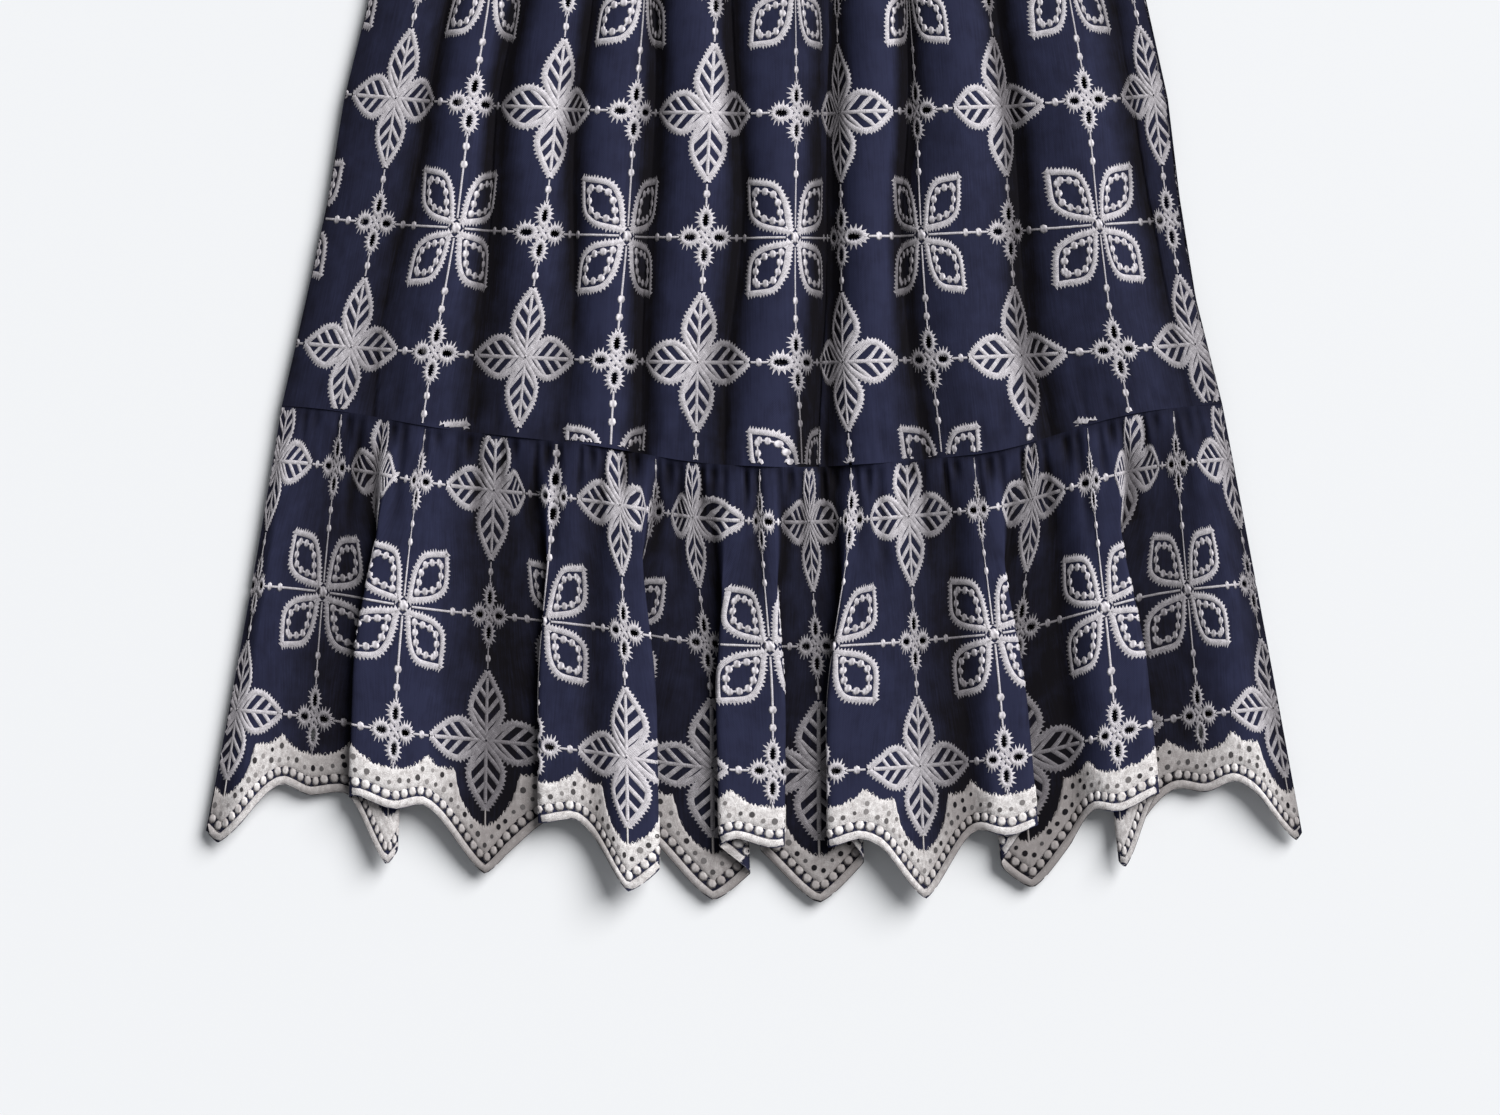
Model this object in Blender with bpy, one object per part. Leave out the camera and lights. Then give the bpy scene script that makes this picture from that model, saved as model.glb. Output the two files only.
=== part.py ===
"""Tiered ruffle skirt, laid flat on its back: six cloth walls that stay apart at the seams.

Lengths are metres. X runs across the skirt, Y runs up to the waist and Z is up off the table.
Outlines are charted in chart units of 0.58 mm, with the chart's x to the right and y down.
"""
import bpy
import numpy as np

UNIT = 0.00058            # metres in one chart unit
CHART_X0 = 754.0          # chart x of the skirt's middle line
CHART_Y0 = 217.0          # chart y half way between waist and hem
WALL = 0.0014             # cloth thickness, seams and embroidery included
SEAM_GAP = 0.0003         # clearance between pieces at a seam
WAIST_TOP = -470.0        # chart y of the waistband's top edge
WAIST_SEAM = -405.0       # chart y of the waistband's seam
RUFFLE_DROP = 435.0       # chart height of the ruffle, seam to scallop point
NOTCH_RISE = 66.0         # chart height of a hem notch above a scallop point
BACK_RIDE = 68.0          # how much higher the back hem lies, in chart units
FRONT_REST = 0.0062       # middle of the front wall over the back, at the side edges
BACK_LIFT = 0.0022        # height of the back's low folds
BACK_EDGE = 0.0038        # rise of the back's side edges to the front's

# Side edges: chart y, left x, right x.
SIDES = np.array([
    (-470.0, 450.0, 1060.0),
    (-405.0, 446.0, 1066.0),
    (-200.0, 410.0, 1108.0),
    (0.0, 370.0, 1145.0),
    (100.0, 345.0, 1167.0),
    (200.0, 329.0, 1179.0),
    (300.0, 307.0, 1195.0),
    (405.0, 283.0, 1221.0),
])

# Seam between the tiers: chart x, chart y.
SEAM = np.array([
    (283.0, 405.0),
    (350.0, 412.0),
    (440.0, 429.0),
    (600.0, 446.0),
    (700.0, 464.0),
    (800.0, 468.0),
    (900.0, 462.0),
    (1000.0, 452.0),
    (1080.0, 427.0),
    (1130.0, 413.0),
    (1221.0, 403.0),
])

# Long folds of the upper tier: place across from -1 to 1, half width, depth in mm, start, end.
# A positive depth is a valley, a negative one is a ridge. Start and end run 0 at the waist to 1.
UPPER_FOLDS = np.array([
    (-0.800, 0.045, 2.2, 0.20, 0.66),
    (-0.690, 0.070, -2.2, 0.60, 1.30),
    (-0.610, 0.040, 3.0, 0.10, 0.86),
    (-0.500, 0.060, -2.0, 0.25, 0.95),
    (-0.420, 0.035, 3.0, 0.15, 0.78),
    (-0.350, 0.060, -2.4, 0.55, 1.20),
    (-0.255, 0.035, 3.4, 0.10, 1.20),
    (-0.150, 0.060, -2.0, 0.20, 0.90),
    (-0.055, 0.035, 2.6, 0.10, 0.80),
    (0.030, 0.060, -2.8, 0.60, 1.30),
    (0.165, 0.048, 5.4, 0.15, 1.60),
    (0.270, 0.060, -2.8, 0.45, 1.30),
    (0.365, 0.035, 3.0, 0.20, 0.86),
    (0.500, 0.080, -2.8, 0.30, 1.00),
    (0.630, 0.040, 3.4, 0.10, 1.00),
    (0.800, 0.080, -2.6, 0.20, 1.00),
    (0.925, 0.035, 2.4, 0.30, 0.88),
])

# Crests and troughs of the front ruffle, left to right: chart x at the seam, at mid height and at
# the scallop points, height in mm over the lowest trough, cloth across in trellis squares.
RUFFLE_STATIONS = np.array([
    (283.0, 246.0, 205.0, 0.0, -0.14),
    (302.0, 263.0, 244.0, 4.5, 0.25),
    (350.0, 330.0, 320.0, 0.0, 1.12),
    (428.0, 404.0, 396.0, 9.5, 3.02),
    (513.0, 508.0, 506.0, 0.8, 4.22),
    (573.0, 571.0, 576.0, 8.5, 5.30),
    (590.0, 592.0, 596.0, 6.0, 5.54),
    (619.0, 625.0, 629.0, 9.8, 6.00),
    (684.0, 682.0, 683.0, 0.0, 7.74),
    (754.0, 753.0, 752.0, 9.5, 8.83),
    (806.0, 807.0, 807.0, 0.0, 9.90),
    (872.0, 878.0, 884.0, 10.0, 11.50),
    (946.0, 960.0, 974.0, 4.2, 12.60),
    (970.0, 988.0, 1003.0, 9.0, 12.92),
    (1040.0, 1056.0, 1074.0, 0.0, 14.36),
    (1084.0, 1100.0, 1118.0, 9.5, 14.94),
    (1160.0, 1170.0, 1186.0, 0.5, 16.74),
    (1196.0, 1230.0, 1264.0, 5.0, 17.55),
    (1221.0, 1262.0, 1302.0, 0.0, 18.10),
])

# Lapped folds: index of the trough-crest span, chart x of the visible edge at the seam and at the
# hem, lap in chart units. The higher end of the span laps over the lower one.
RUFFLE_LAPS = np.array([
    (2, 362.0, 350.0, 44.0),
    (4, 540.0, 539.0, 24.0),
    (7, 651.0, 659.0, 40.0),
    (8, 708.0, 722.0, 22.0),
    (9, 788.0, 784.0, 22.0),
    (10, 823.0, 829.0, 34.0),
    (13, 1002.0, 1042.0, 34.0),
    (15, 1122.0, 1163.0, 42.0),
])

# Ways across a lapped fold at which it has columns, closer together at its two bends.
LAP_WAYS = np.array([0.0, 0.10, 0.18, 0.24, 0.29, 0.35, 0.44, 0.56, 0.65, 0.71, 0.76, 0.82, 0.90])
BEND_REACH = 0.13         # half of the way across a lapped fold that one bend takes
WAVE_SEGMENTS = 6         # columns across any other span
RUFFLE_ROWS = np.array([0.0, 0.045, 0.11, 0.19, 0.26, 0.32, 0.39, 0.50, 0.64, 0.79, 1.0])
UPPER_ROWS = np.array([0.0, 0.05, 0.14, 0.28, 0.44, 0.62, 0.80, 1.0])
BACK_ROWS = np.array([0.0, 0.08, 0.25, 0.50, 0.76, 1.0])
BAND_ROWS = np.array([0.0, 0.33, 0.67, 1.0])
UPPER_GATHERS = 30
BACK_RUFFLE_GATHERS = 24
BACK_UPPER_GATHERS = 16
BAND_GATHERS = 12
COLUMNS_PER_GATHER = 4


def smooth(x, low=0.0, high=1.0):
    """Ease from 0 at low to 1 at high."""
    t = np.clip((x - low) / (high - low), 0.0, 1.0)
    return t * t * (3.0 - 2.0 * t)


def to_metres(x, y, z_metres):
    """Chart points to the model's frame."""
    return np.stack([(x - CHART_X0) * UNIT, (CHART_Y0 - y) * UNIT, z_metres], axis=-1)


def side_x(y, place):
    """Chart x at a place from -1 at the left side to 1 at the right side."""
    left = np.interp(y, SIDES[:, 0], SIDES[:, 1])
    right = np.interp(y, SIDES[:, 0], SIDES[:, 2])
    return left + (right - left) * (place + 1.0) / 2.0


def seam_y(x):
    """Chart y of the seam between the tiers, with its corners eased."""
    reach = np.array([-24.0, 0.0, 24.0])
    return np.mean([np.interp(x + step, SEAM[:, 0], SEAM[:, 1]) for step in reach], axis=0)


def edge_fall(place):
    """1 over the body of a front panel, easing to 0 at its side edges."""
    return 1.0 - np.clip(np.abs(place), 0.0, 1.0) ** 10


def gather_wave(columns):
    """One small gather for every four columns, with sharper valleys than crests."""
    turn = 2.0 * np.pi * columns / COLUMNS_PER_GATHER
    return np.cos(turn)


def upper_height(place, down):
    """Height of the front upper tier's middle surface, without its small gathers."""
    height = 4.2 + 0.8 * down
    for centre, width, depth, start, end in UPPER_FOLDS:
        reach = smooth(down, start - 0.12, start + 0.12) * (1.0 - smooth(down, end - 0.12, end + 0.12))
        height = height - depth * reach * np.exp(-((place - centre) / width) ** 2)
    return FRONT_REST + 0.001 * edge_fall(place) * np.clip(height, 0.2, None)


def upper_front_surface():
    """Middle surface of the upper tier's front."""
    count = UPPER_GATHERS * COLUMNS_PER_GATHER
    columns, down = np.meshgrid(np.arange(count + 1.0), UPPER_ROWS)
    place = 2.0 * columns / count - 1.0
    level_x = side_x(WAIST_SEAM + down * (405.0 - WAIST_SEAM), place)
    foot = seam_y(side_x(405.0, place)) - 0.5 * SEAM_GAP / UNIT
    y = WAIST_SEAM + down * (foot - WAIST_SEAM)
    ripple = smooth(down, 0.0, 0.05) * (1.0 - 0.85 * smooth(down, 0.05, 0.62)) * (1.0 - smooth(down, 0.8, 1.0))
    z = upper_height(place, down) + 0.0013 * ripple * gather_wave(columns) * edge_fall(place)
    return to_metres(level_x, y, z)


def double_step(t, first, second):
    """Height across a lapped fold: half of the rise at each of its two bends."""
    under = smooth(t, first - BEND_REACH, first + BEND_REACH)
    over = smooth(t, second - BEND_REACH, second + BEND_REACH)
    return 0.08 * smooth(t) + 0.46 * (under + over)


def ruffle_columns():
    """Span number and way across the span for each column of the front ruffle."""
    laps = set(RUFFLE_LAPS[:, 0].astype(int))
    spans = []
    ways = []
    for span in range(len(RUFFLE_STATIONS) - 1):
        steps = LAP_WAYS if span in laps else np.arange(WAVE_SEGMENTS) / WAVE_SEGMENTS
        spans += [span] * len(steps)
        ways += list(steps)
    spans.append(len(RUFFLE_STATIONS) - 2)
    ways.append(1.0)
    return np.array(spans), np.array(ways)


def across(table, down):
    """Quadratic from the seam, middle and hem columns of a table."""
    seam, middle, hem = table[:, 0], table[:, 1], table[:, 2]
    at_seam = 2.0 * (down - 0.5) * (down - 1.0)
    at_middle = 4.0 * down * (1.0 - down)
    at_hem = 2.0 * down * (down - 0.5)
    return seam * at_seam + middle * at_middle + hem * at_hem


def lap_swing(ways, run, low, edge, lap, rises):
    """Sideways swing of a lapped fold that puts its visible edge at the given chart x."""
    swing = (lap + 0.46 * run) / 1.98
    bend = 0.73 if rises else 0.27
    reach = 0.99 * swing if rises else -0.99 * swing
    lean = (edge - low - bend * run + reach) / 0.56
    return swing * np.sin(2.0 * np.pi * ways) + lean * np.sin(np.pi * ways) ** 2


def ruffle_section(spans, ways, down):
    """Chart x, height in metres and place of the front ruffle's columns at one level down."""
    station_x = across(RUFFLE_STATIONS, down)
    low_x, high_x = station_x[spans], station_x[spans + 1]
    start, end = RUFFLE_STATIONS[spans, 3], RUFFLE_STATIONS[spans + 1, 3]
    plain_x = low_x + (high_x - low_x) * ways
    x = plain_x.copy()
    rise = smooth(ways)
    formed = smooth(down, 0.04, 0.60)
    fine = np.linspace(0.0, 1.0, 401)
    for span, edge_seam, edge_hem, lap in RUFFLE_LAPS:
        number = int(span)
        here = spans == number
        low, run = station_x[number], station_x[number + 1] - station_x[number]
        rises = RUFFLE_STATIONS[number + 1, 3] > RUFFLE_STATIONS[number, 3]
        edge = edge_seam + (edge_hem - edge_seam) * down
        x[here] += formed * lap_swing(ways[here], run, low, edge, lap, rises)
        track = low + run * fine + formed * lap_swing(fine, run, low, edge, lap, rises)
        first = fine[np.argmax(track[:201])]
        second = fine[200 + np.argmin(track[200:])]
        rise[here] = double_step(ways[here], first, second)
    folded = FRONT_REST + 0.001 * (start + (end - start) * rise) * (0.75 + 0.35 * down)
    left, right = station_x[0], station_x[-1]
    plain = upper_height(2.0 * (plain_x - left) / (right - left) - 1.0, 1.0)
    place = 2.0 * (x - left) / (right - left) - 1.0
    return x, plain + (folded - plain) * smooth(down, 0.0, 0.15), place


def cloth_across(spans, ways):
    """Trellis squares across the cloth for each column, shared out by length along the section."""
    fine_ways = np.linspace(0.0, 1.0, 81)
    result = np.zeros(len(spans))
    for span in range(len(RUFFLE_STATIONS) - 1):
        x, z, _ = ruffle_section(np.full(81, span), fine_ways, 0.72)
        steps = np.hypot(np.diff(x) * UNIT, np.diff(z))
        share = np.concatenate([[0.0], np.cumsum(steps)]) / steps.sum()
        here = spans == span
        start, end = RUFFLE_STATIONS[span, 4], RUFFLE_STATIONS[span + 1, 4]
        result[here] = start + (end - start) * np.interp(ways[here], fine_ways, share)
    return result


def hem_rise(cloth):
    """Chart height of the hem above the scallop points: deep points on even squares."""
    off = np.abs((cloth + 1.0) % 2.0 - 1.0)
    flank = NOTCH_RISE * smooth(off, -0.10, 0.72) / smooth(0.67, -0.10, 0.72)
    bump = 8.0 * smooth(off, 0.67, 1.0)
    return np.clip(flank - smooth(0.0, -0.10, 0.72) * NOTCH_RISE, 0.0, NOTCH_RISE) - bump


def ruffle_front_surface():
    """Middle surface of the front ruffle, laps and scallops included."""
    spans, ways = ruffle_columns()
    cloth = cloth_across(spans, ways)
    reach = 1.0 - hem_rise(cloth) / RUFFLE_DROP
    squeeze = np.clip((RUFFLE_ROWS - 0.64) / 0.36, 0.0, 1.0)
    ripple_fade = smooth(RUFFLE_ROWS, 0.0, 0.06) * (1.0 - smooth(RUFFLE_ROWS, 0.10, 0.52))
    numbers = np.arange(len(spans))
    lapped = np.isin(spans, RUFFLE_LAPS[:, 0])
    rows = []
    for level, tighten, fade in zip(RUFFLE_ROWS, squeeze, ripple_fade):
        x, z, place = ruffle_section(spans, ways, level)
        down = level * (1.0 + tighten * (reach - 1.0))
        y = seam_y(side_x(405.0, place)) + 0.5 * SEAM_GAP / UNIT + down * RUFFLE_DROP
        free = np.where(lapped, 1.0 - smooth(level, 0.04, 0.17), 1.0)
        z = z + 0.0012 * fade * free * gather_wave(numbers) * edge_fall(place)
        rows.append(to_metres(x, y, z))
    return np.array(rows)


def back_bump(columns, count, down, place, calm):
    """Rise of a back panel: low gathers, flat between them, and edges that turn up to the front."""
    gathers = np.clip(np.cos(2.0 * np.pi * columns / COLUMNS_PER_GATHER), 0.0, 1.0)
    fade = np.sin(np.pi * np.clip(down, 0.02, 0.98)) ** 0.5
    edge = np.clip(np.abs(place), 0.0, 1.0) ** 24
    flat = 1.0 - calm * (1.0 - smooth(np.abs(place), 0.25, 0.45))
    return BACK_LIFT * gathers * fade * flat * (1.0 - edge) + BACK_EDGE * edge


def back_surface(gathers, rows, top, foot, tuck, calm, scalloped):
    """Lower surface of a back panel between two chart lines, a little inside the front's outline."""
    count = gathers * COLUMNS_PER_GATHER
    columns, down = np.meshgrid(np.arange(count + 1.0), rows)
    place = 2.0 * columns / count - 1.0
    head = top(place)
    base = foot(place)
    if scalloped:
        base = base - hem_rise(9.0 * place + 9.0)
    y = head + down * (base - head)
    x = tuck(place, down)
    z = back_bump(columns, count, down, place, calm)
    return to_metres(x, y, z)


def upper_back_surface():
    """Lower surface of the upper tier's back."""
    def head(place):
        return np.full_like(place, WAIST_SEAM)

    def foot(place):
        return seam_y(side_x(405.0, place)) - 0.5 * SEAM_GAP / UNIT

    def tuck(place, down):
        return side_x(WAIST_SEAM + down * (405.0 - WAIST_SEAM), place)

    return back_surface(BACK_UPPER_GATHERS, BACK_ROWS, head, foot, tuck, 1.0, False)


def ruffle_back_surface():
    """Lower surface of the back ruffle, its hem riding a little higher than the front's."""
    def head(place):
        return seam_y(side_x(405.0, place)) + 0.5 * SEAM_GAP / UNIT

    def foot(place):
        return head(place) + RUFFLE_DROP - BACK_RIDE

    def tuck(place, down):
        station_left = across(RUFFLE_STATIONS[:1], down * (1.0 - BACK_RIDE / RUFFLE_DROP))
        station_right = across(RUFFLE_STATIONS[-1:], down * (1.0 - BACK_RIDE / RUFFLE_DROP))
        middle = (station_left + station_right) / 2.0
        return middle + (station_right - middle) * place

    return back_surface(BACK_RUFFLE_GATHERS, BACK_ROWS, head, foot, tuck, 0.0, True)


def band_surface(front):
    """Surface of one side of the waistband: the middle of the front wall, the base of the back one."""
    count = BAND_GATHERS * COLUMNS_PER_GATHER
    columns, down = np.meshgrid(np.arange(count + 1.0), BAND_ROWS)
    place = 2.0 * columns / count - 1.0
    y = WAIST_TOP + down * (WAIST_SEAM - SEAM_GAP / UNIT - WAIST_TOP)
    x = side_x(y, place)
    if not front:
        return to_metres(x, y, back_bump(columns, count, down, place, 1.0))
    lift = upper_height(place, np.zeros_like(place))
    ripple = np.sin(np.pi * down) * gather_wave(columns) * edge_fall(place)
    return to_metres(x, y, lift + 0.0009 * ripple)


def surface_normals(grid):
    """Unit normals of a grid surface, level along Y at its first and last rows so seams stay apart."""
    along = np.gradient(grid, axis=1)
    downward = np.gradient(grid, axis=0)
    normals = np.cross(downward, along)
    normals[0, :, 1] = 0.0
    normals[-1, :, 1] = 0.0
    return normals / np.linalg.norm(normals, axis=2, keepdims=True)


def wall_from_middle(grid):
    """Upper and lower skins half a wall either side of a middle surface."""
    normals = surface_normals(grid)
    return grid + normals * WALL / 2.0, grid - normals * WALL / 2.0


def wall_from_base(grid):
    """Upper and lower skins of a wall that stands on its lower surface."""
    return grid + np.array([0.0, 0.0, WALL]), grid


def add_wall(name, collection, material, skins):
    """One closed body from an upper and a lower skin."""
    upper, lower = skins
    rows, columns = upper.shape[:2]
    size = rows * columns
    mesh = bpy.data.meshes.new(name)
    index = np.arange(size).reshape(rows, columns)
    near, far = index[:-1, :-1].ravel(), index[:-1, 1:].ravel()
    below, beyond = index[1:, :-1].ravel(), index[1:, 1:].ravel()
    top = np.stack([near, below, beyond, far], axis=1)
    bottom = np.stack([near, far, beyond, below], axis=1) + size
    rim = np.concatenate([index[0, ::-1], index[1:, 0], index[-1, 1:], index[-2:0:-1, -1]])
    ahead = np.roll(rim, -1)
    edge = np.stack([rim, rim + size, ahead + size, ahead], axis=1)
    points = np.concatenate([upper.reshape(-1, 3), lower.reshape(-1, 3)])
    mesh.from_pydata(points.tolist(), [], np.concatenate([top, bottom, edge]).tolist())
    mesh.materials.append(material)
    mesh.update()
    wall = bpy.data.objects.new(name, mesh)
    collection.objects.link(wall)
    return wall


def cloth_material(name, color):
    """Matte cloth."""
    material = bpy.data.materials.new(name)
    material.use_nodes = True
    shader = material.node_tree.nodes["Principled BSDF"]
    shader.inputs["Base Color"].default_value = (*color, 1.0)
    shader.inputs["Roughness"].default_value = 0.85
    return material


def settle(pieces):
    """Shift all skins so that the whole is centred on the origin and stands on Z zero."""
    points = np.concatenate([skin.reshape(-1, 3) for skins in pieces.values() for skin in skins])
    low, high = points.min(axis=0), points.max(axis=0)
    shift = np.array([-(low[0] + high[0]) / 2.0, -(low[1] + high[1]) / 2.0, -low[2]])
    return {name: tuple(skin + shift for skin in skins) for name, skins in pieces.items()}


def main():
    """Build the six pieces."""
    for thing in list(bpy.data.objects):
        bpy.data.objects.remove(thing)
    collection = bpy.data.collections.new("ruffle_skirt")
    bpy.context.scene.collection.children.link(collection)
    pieces = {
        "waistband_front": wall_from_middle(band_surface(True)),
        "waistband_back": wall_from_base(band_surface(False)),
        "upper_front": wall_from_middle(upper_front_surface()),
        "upper_back": wall_from_base(upper_back_surface()),
        "ruffle_front": wall_from_middle(ruffle_front_surface()),
        "ruffle_back": wall_from_base(ruffle_back_surface()),
    }
    for name, skins in settle(pieces).items():
        material = cloth_material(name + "_cloth", (0.022, 0.024, 0.068))
        add_wall(name, collection, material, skins)
    print("pieces", len(pieces))


main()
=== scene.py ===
# %% [markdown]
# # A tiered skirt with eyelet embroidery, laid flat
# The real thing is a navy cotton skirt: a waistband, a flared upper tier that is gathered into it, and
# a much fuller ruffle at the bottom with a scalloped hem. Pale thread covers both tiers in a square
# trellis of flowers and eyelets. It lies on a pale table and the camera looks straight down.
#
# The cloth is not simulated. Its big folds were charted, because they have to fall where the
# photograph shows them, and a simulation would put them somewhere else each time it was tuned.

import bmesh
import bpy
import numpy as np
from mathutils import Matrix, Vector


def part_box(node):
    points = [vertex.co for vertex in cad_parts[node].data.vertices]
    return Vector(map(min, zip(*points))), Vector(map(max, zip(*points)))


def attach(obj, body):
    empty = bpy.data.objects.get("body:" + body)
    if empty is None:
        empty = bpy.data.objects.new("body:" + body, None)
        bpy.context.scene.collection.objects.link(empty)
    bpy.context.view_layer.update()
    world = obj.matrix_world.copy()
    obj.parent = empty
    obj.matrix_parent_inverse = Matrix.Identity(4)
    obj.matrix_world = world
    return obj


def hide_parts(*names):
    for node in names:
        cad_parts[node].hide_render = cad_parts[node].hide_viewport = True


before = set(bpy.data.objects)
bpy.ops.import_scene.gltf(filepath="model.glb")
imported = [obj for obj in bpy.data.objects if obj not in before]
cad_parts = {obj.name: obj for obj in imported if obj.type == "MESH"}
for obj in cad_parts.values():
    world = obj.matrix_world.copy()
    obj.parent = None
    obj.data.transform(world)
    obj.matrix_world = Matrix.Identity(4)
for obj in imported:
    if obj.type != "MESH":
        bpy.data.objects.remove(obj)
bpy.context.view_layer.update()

# %% [markdown]
# ## The chart
# A maker draws a skirt flat on squared paper. This chart does the same: one unit is 0.58 mm, x runs to
# the right and y runs down from a line in the upper tier. The two numbers `shift_x` and `shift_y` move
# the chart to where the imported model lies, read from the waistband's box.

# %% Chart units, the pieces' edges and the seam between the tiers
UNIT = 0.00058            # metres in one chart unit
CHART_X0 = 754.0          # chart point at the middle of the skirt, waistband to hem
CHART_Y0 = 217.0
BAND_MIDDLE = 756.0       # chart x of the waistband's middle
WAIST_TOP = -470.0        # chart y of the waistband's top edge
WAIST_SEAM = -405.0       # chart y of the waistband's seam
SIDE_SEAM = 405.0         # chart y of the lower seam where it meets the sides
RUFFLE_DROP = 435.0       # seam to scallop point
NOTCH_RISE = 66.0         # a hem notch above a scallop point
BACK_RIDE = 68.0          # how much higher the back hem lies
SEAM_GAP = 0.0003 / UNIT  # chart units between two pieces at their seam
FRONT_REST = 0.0062       # middle of the front wall in metres, at the side edges
PITCH = 124.0             # one square of the trellis

band_low, band_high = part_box("waistband_front")
shift_x = (band_low[0] + band_high[0]) / 2.0 - (BAND_MIDDLE - CHART_X0) * UNIT
shift_y = band_high[1] - (CHART_Y0 - WAIST_TOP) * UNIT

SIDES = np.array([          # chart y, left x, right x
    (-470, 450, 1060), (-405, 446, 1066), (-200, 410, 1108), (0, 370, 1145),
    (100, 345, 1167), (200, 329, 1179), (300, 307, 1195), (405, 283, 1221),
], dtype=float)
SEAM = np.array([           # chart x, chart y
    (283, 405), (350, 412), (440, 429), (600, 446), (700, 464), (800, 468),
    (900, 462), (1000, 452), (1080, 427), (1130, 413), (1221, 403),
], dtype=float)
SEAM_EASE = 24.0            # chart units over which the seam's corners are eased


def smooth(x, low=0.0, high=1.0):
    """Ease from 0 at low to 1 at high."""
    t = np.clip((x - low) / (high - low), 0.0, 1.0)
    return t * t * (3.0 - 2.0 * t)


def to_metres(x, y, z):
    """Chart points to the frame."""
    return np.stack([(x - CHART_X0) * UNIT + shift_x, (CHART_Y0 - y) * UNIT + shift_y, z], axis=-1)


def side_x(y, place):
    """Chart x at a place from -1 at the left side to 1 at the right side."""
    left, right = (np.interp(y, SIDES[:, 0], SIDES[:, column]) for column in (1, 2))
    return left + (right - left) * (place + 1.0) / 2.0


def seam_y(x):
    """Chart y of the seam between the tiers, with its corners eased."""
    return sum(np.interp(x + step, *SEAM.T) for step in (-SEAM_EASE, 0.0, SEAM_EASE)) / 3.0


def edge_fall(place):
    """1 over the body of a front panel, easing to 0 at its side edges."""
    return 1.0 - np.clip(np.abs(place), 0.0, 1.0) ** 10


print("chart shift in mm", round(shift_x * 1000, 2), round(shift_y * 1000, 2))

# %% [markdown]
# ## How the upper tier falls
# The front of the upper tier hangs from its gathers in long folds that fan out from the waist. Each
# row of the table is one fold: a soft trough, or a ridge where the depth is negative. They could be
# sculpted, but a table keeps each fold easy to find and to move.

# %% Folds of the upper tier, and the small creases that gathering stitches leave
UPPER_FOLDS = np.array([    # place, half width, depth in mm, start and end from waist to seam
    (-0.800, 0.045, 2.2, 0.20, 0.66),
    (-0.690, 0.070, -2.2, 0.60, 1.30),
    (-0.610, 0.040, 3.0, 0.10, 0.86),
    (-0.500, 0.060, -2.0, 0.25, 0.95),
    (-0.420, 0.035, 3.0, 0.15, 0.78),
    (-0.350, 0.060, -2.4, 0.55, 1.20),
    (-0.255, 0.035, 3.4, 0.10, 1.20),
    (-0.150, 0.060, -2.0, 0.20, 0.90),
    (-0.055, 0.035, 2.6, 0.10, 0.80),
    (0.030, 0.060, -2.8, 0.60, 1.30),
    (0.165, 0.048, 5.4, 0.15, 1.60),
    (0.270, 0.060, -2.8, 0.45, 1.30),
    (0.365, 0.035, 3.0, 0.20, 0.86),
    (0.500, 0.080, -2.8, 0.30, 1.00),
    (0.630, 0.040, 3.4, 0.10, 1.00),
    (0.800, 0.080, -2.6, 0.20, 1.00),
    (0.925, 0.035, 2.4, 0.30, 0.88),
])


def fold_reach(down, start, end):
    """1 along a fold's length, easing to 0 past both of its ends."""
    return smooth(down, start - 0.12, start + 0.12) * (1.0 - smooth(down, end - 0.12, end + 0.12))


def upper_height(place, down):
    """Height of the front upper tier without its small gathers."""
    height = 4.2 + 0.8 * down
    for centre, width, depth, start, end in UPPER_FOLDS:
        height = height - depth * fold_reach(down, start, end) * np.exp(-((place - centre) / width) ** 2)
    return FRONT_REST + 0.001 * edge_fall(place) * np.clip(height, 0.2, None)


def scatter(number, seed):
    """A repeatable spread of numbers from 0 to 1."""
    return (number * 0.6180339887 + seed) % 1.0


def gather_creases(place, down, count, depth, longest, seed):
    """Depth in metres of small creases that start at a gathered edge, where down is 0."""
    total = np.zeros(np.broadcast(place, down).shape)
    for number in range(count):
        centre = -1.0 + 2.0 * (number + 0.5 + 0.7 * (scatter(number, seed) - 0.5)) / count
        width = (0.30 + 0.30 * scatter(number, seed + 0.37)) / count
        length = longest * (0.15 + 0.85 * scatter(number, seed + 0.71) ** 2)
        strength = depth * (0.45 + 0.55 * scatter(number, seed + 0.19))
        reach = smooth(down, 0.0, 0.02) * (1.0 - smooth(down, 0.25 * length, length))
        spread = width * (1.0 + 1.6 * down / longest)
        total += strength * reach * np.exp(-((place - centre) / spread) ** 2)
    return total


# %% [markdown]
# ## How the ruffle falls
# The ruffle has about two and a half times as much cloth as the seam it hangs from. It falls in eight
# folds that lap over their neighbours. A row of `RUFFLE_STATIONS` is a crest or a trough, and a row of
# `RUFFLE_LAPS` says that the span between two of them folds back under itself, and where its visible
# edge runs. The last column counts the trellis squares across the cloth, so that the flowers land on
# the folds as they do on the real skirt and vanish into the laps.

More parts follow.
